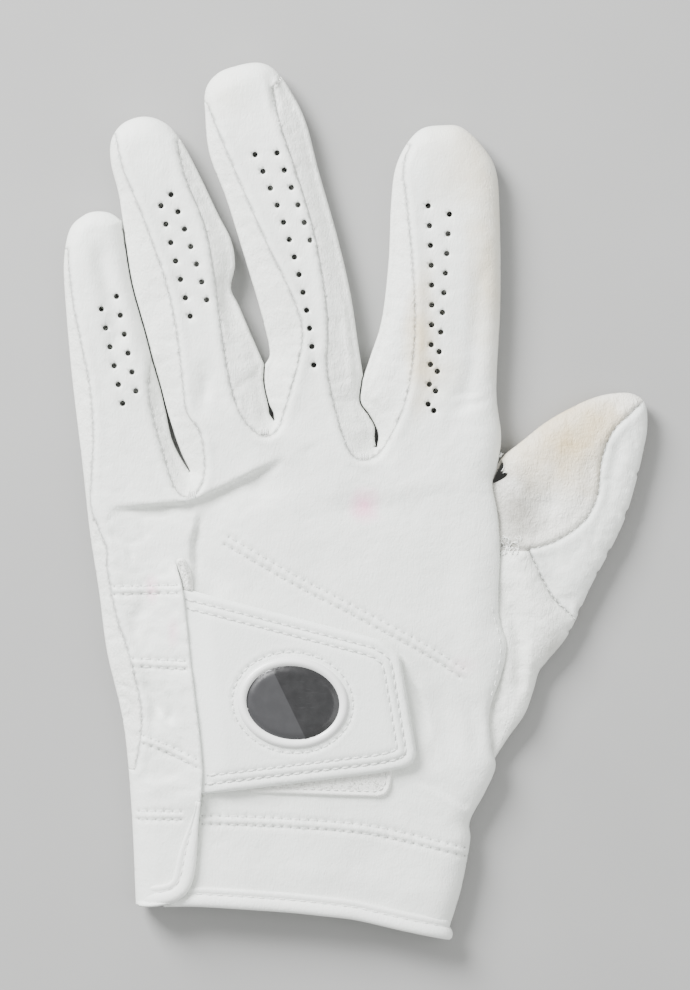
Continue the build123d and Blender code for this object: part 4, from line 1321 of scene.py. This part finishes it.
def pad_top(points):
    """Lumpy ridge along the end of the slit."""
    lumps = 0.18 * ripple(points, 0.9, 4.0)
    ridge = 0.8 * np.exp(-((distance(points, pad_line) / 0.9) ** 2))
    return under_strip(points) + 0.9 + lumps + ridge


obj, _ = ply("slit_reinforcement_pad", pad_outline, pad_top, raised(under_strip, -0.2), 0.7, spacing=0.4)
finish_piece(obj, "glove", pile_material, "slit_reinforcement", slot="loop_pile")
PILE = 170
spots, turns, sizes = scattered(pad_outline, PILE, 0.3, 8)
pile = strands("slit_reinforcement_pile", arches(spots, turns, sizes, raised(pad_top, -0.08), 0.2), 0.05, 3)
finish_piece(pile, "glove", pile_material, "slit_reinforcement", slot="loop_pile")

# ---------------------------------------------------------------- closure tab
UNDER_STRIP = 1.5  # how far the tab carries on under the strip
TAB = [
    (*(ROOT_TOP - UNDER_STRIP * root_side), 0.0), (6.4, -35.0, 10.0), (10.9, -38.8, 3.5), (15.3, -65.6, 4.0),
    (6.0, -67.6, 15.0), (*(ROOT_BOTTOM - UNDER_STRIP * root_side), 0.0),
]
TAB_ROWS = (2.1, 4.2)
TAB_CROWN = 11.5
TAB_ROOT_LEVEL = 10.0
TAB_PITCH = 2.4
TAB_PLY = 0.75
LINING_PLY = 0.55
BADGE_CENTRE = np.array([-15.6, -50.3])
BADGE_HALF = np.array([13.5, 11.0])
BADGE_TURN = math.radians(-6.0)

tab_outline = rounded_outline(TAB)
tab_rim = tab_outline[: len(tab_outline) - int(np.linalg.norm(ROOT_BOTTOM - ROOT_TOP) / 0.8) + 1]
tab_rows = []
for inset in TAB_ROWS:
    loop = rounded_outline([(-70.0, -15.2, 0.0), *TAB[1:-1], (-70.0, -76.8, 0.0)], inset)
    row = loop[from_root(loop) > 0.5]
    tab_rows.append(evenly(np.column_stack([row, np.zeros(len(row))]), TAB_PITCH)[:, :2])


def ellipse(grow, count=72):
    """Plan oval round the badge, larger by the given amount."""
    turn = np.linspace(0.0, 2 * math.pi, count, endpoint=False)
    x, y = (BADGE_HALF[0] + grow) * np.cos(turn), (BADGE_HALF[1] + grow) * np.sin(turn)
    c, s = math.cos(BADGE_TURN), math.sin(BADGE_TURN)
    return BADGE_CENTRE + np.column_stack([x * c - y * s, x * s + y * c])


badge_rim_line = closed_line(ellipse(0.0))
BADGE_GAP = 1.6
badge_row = closed_line(ellipse(BADGE_GAP, 38))


def tab_top(points, detail=True):
    """Height of the outside of the tab."""
    root = from_root(points)
    edge = distance(points, tab_rim)
    z = TAB_CROWN + 0.22 * ripple(points, 15.0, 2.5) - 0.65 * (1.0 - soft_step(edge, 0.0, 7.5)) ** 2
    if detail:
        between_rows = 0.22 * np.exp(-(((edge - sum(TAB_ROWS) / 2) / 0.7) ** 2))
        z += between_rows + 0.18 * np.exp(-(((edge - 0.9) / 0.6) ** 2))
        for row in (*tab_rows, badge_row):
            z -= 0.30 * np.exp(-((distance(points, row) / 0.42) ** 2))
        z += 0.12 * np.exp(-(((distance(points, badge_row) - 0.9) / 0.6) ** 2))
        z += 0.03 * ripple(points, 2.2, 6.6)
    return TAB_ROOT_LEVEL + (z - TAB_ROOT_LEVEL) * soft_step(root, -0.2, 7.0)


def tab_inside(points):
    """Height of the inner side of the tab's outer leather."""
    return tab_top(points, False) - TAB_PLY


tab_needles = np.vstack([*tab_rows, badge_row[:-1]])
obj, plan = ply(
    "tab_outer_leather", tab_outline, tab_top, tab_inside, 0.75, tab_rows, pit_rings(tab_needles), 0.8
)
paint_seam_shade_on_ply(obj, plan, (), tab_needles)
tab_pieces = [(obj, tab_leather, "tab_outer", "tab_leather")]

# the lining shows as a second edge just outside the outer leather
lining_outline = rounded_outline(TAB, -0.35)
lining_outline = lining_outline[from_root(lining_outline) > -UNDER_STRIP - 0.1]
obj, plan = ply(
    "tab_lining_leather", lining_outline, raised(tab_inside, -0.02),
    raised(tab_inside, -LINING_PLY), 0.4, spacing=1.1,
)
paint_seam_shade_on_ply(obj, plan)
tab_pieces.append((obj, tab_leather, "tab_lining", "tab_leather"))
paths = [p for row in tab_rows for p in stitch_paths(row, tab_top)]
tab_thread = strands("tab_thread", paths, THREAD_RADIUS * STITCH_GIRTH, 6, 0.8)
tab_pieces.append((tab_thread, thread_material, "tab_stitching", "thread"))
for piece, material, node, slot in tab_pieces:
    piece.data.materials.clear()
    piece.data.materials.append(material)
    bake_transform(piece)
    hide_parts(node)

# stitching round the badge, the badge and the hook patch move with the flat of the tab
paths = stitch_paths(badge_row, tab_top, 0.68)
thread_piece("badge_thread", paths, 0.2, "badge_stitching", body="closure_tab")
BADGE_LEVEL = 11.55
RIM_WIDTH = 1.8
RIM_PROFILE = [
    (0.35, -0.3), (0.3, 0.12), (-0.05, 0.3), (-0.25, 0.75), (-0.6, 1.0), (-1.0, 1.02), (-1.3, 0.85),
    (-1.45, 0.5), (-1.8, 0.4), (-1.85, -0.3),
]
oval = ellipse(0.0, 96)
oval_out = (oval - BADGE_CENTRE) / np.linalg.norm(oval - BADGE_CENTRE, axis=1)[:, None]
rim_places = np.column_stack([oval, np.full(len(oval), BADGE_LEVEL)])[::-1]
rim_outward = np.column_stack([oval_out, np.zeros(len(oval))])[::-1]
rim = swept("badge_rim_ring", rim_places, rim_outward, RIM_PROFILE, closed=True)
finish_piece(rim, "closure_tab", rim_material, "badge_rim", slot="badge_rim")


def insert_top(points):
    """Dark plate with a bevelled edge, ridged where its two slanting facets meet."""
    edge = distance(points, badge_rim_line) - RIM_WIDTH
    local = points - BADGE_CENTRE
    across = local[:, 0] * math.cos(0.45) + local[:, 1] * math.sin(0.45)
    slant = np.where(across < -1.0, -0.06 * (-1.0 - across), -0.025 * (across + 1.0))
    return BADGE_LEVEL + 0.42 + 0.45 * soft_step(edge, 0.0, 1.6) + slant


obj, _ = ply(
    "badge_insert_plate", ellipse(0.1 - RIM_WIDTH), insert_top,
    lambda p: np.full(len(p), BADGE_LEVEL), 0.2, spacing=0.6,
)
finish_piece(obj, "closure_tab", insert_material, "badge_insert", slot="badge_insert")

HOOK_PATCH = [(-11.0, -37.0, 2.0), (7.2, -41.6, 3.0), (11.4, -62.6, 3.0), (-9.0, -66.0, 2.0)]
hook_outline = rounded_outline(HOOK_PATCH)


def hook_base(points):
    """Height of the underside of the tab."""
    return tab_inside(points) - LINING_PLY


obj, _ = ply(
    "hook_patch_base", hook_outline, raised(hook_base, 0.05), raised(hook_base, -0.28), 0.3, spacing=0.8
)
finish_piece(obj, "closure_tab", hook_material, "hook_patch", slot="hook_pile")
HOOKS = 700
spots, turns, sizes = scattered(hook_outline, HOOKS, 0.7, 5)
paths = arches(spots, turns, sizes, raised(hook_base, -0.26), 0.2, 0.8, True)
hooks = strands("hook_patch_hooks", paths, 0.06, 3)
finish_piece(hooks, "closure_tab", hook_material, "hook_patch", slot="hook_pile")

# ---------------------------------------------------------------- floor, light and camera
floor_material, floor_tree, floor_shader, floor_place = new_material("floor", Roughness=0.85)
floor_mottle = {"Vector": floor_place, "Scale": 12.0, "Detail": 6.0}
floor_noise = shader_node(floor_tree, "ShaderNodeTexNoise", floor_mottle).outputs[0]
floor_mix = ranged(floor_tree, floor_noise, 0.3, 0.7)
floor_colour = mixed(floor_tree, floor_mix, paint(0.30, 0.30, 0.297), paint(0.33, 0.33, 0.327))
floor_tree.links.new(floor_colour, floor_shader.inputs["Base Color"])
FLOOR_HALF = 900.0
floor_corners = [(x * FLOOR_HALF, y * FLOOR_HALF, 0.0) for x, y in ((-1, -1), (1, -1), (1, 1), (-1, 1))]
floor = make_mesh("floor", floor_corners, [(0, 1, 2, 3)])
floor.data.materials.append(floor_material)


def area_light(name, place, size, power, target=(0.0, 0.0, 0.0)):
    data = bpy.data.lights.new(name, "AREA")
    data.shape = "RECTANGLE"
    data.size, data.size_y = size
    data.energy = power
    light = bpy.data.objects.new(name, data)
    light.location = place
    light.rotation_euler = (Vector(target) - Vector(place)).to_track_quat("-Z", "Y").to_euler()
    bpy.context.collection.objects.link(light)
    return light


area_light("key", (-0.62, 0.70, 0.62), (0.5, 0.5), 47.0)
area_light("fill", (0.8, -0.2, 0.9), (0.9, 0.9), 7.0)
world = bpy.data.worlds.new("studio")
world.use_nodes = True
world.node_tree.nodes["Background"].inputs["Color"].default_value = paint(0.97, 0.98, 0.96)
world.node_tree.nodes["Background"].inputs["Strength"].default_value = 0.95
bpy.context.scene.world = world

CAMERA_HEIGHT = 1.2
VIEW_HEIGHT = 0.2475  # what the long side of the view covers, metres
SENSOR = 36.0
camera_data = bpy.data.cameras.new("camera")
camera_data.sensor_width = SENSOR
camera_data.lens = SENSOR * CAMERA_HEIGHT / VIEW_HEIGHT
camera = bpy.data.objects.new("camera", camera_data)
camera.location = (-0.0026, 0.0015, CAMERA_HEIGHT + TOP * MM)
bpy.context.collection.objects.link(camera)
bpy.context.scene.camera = camera
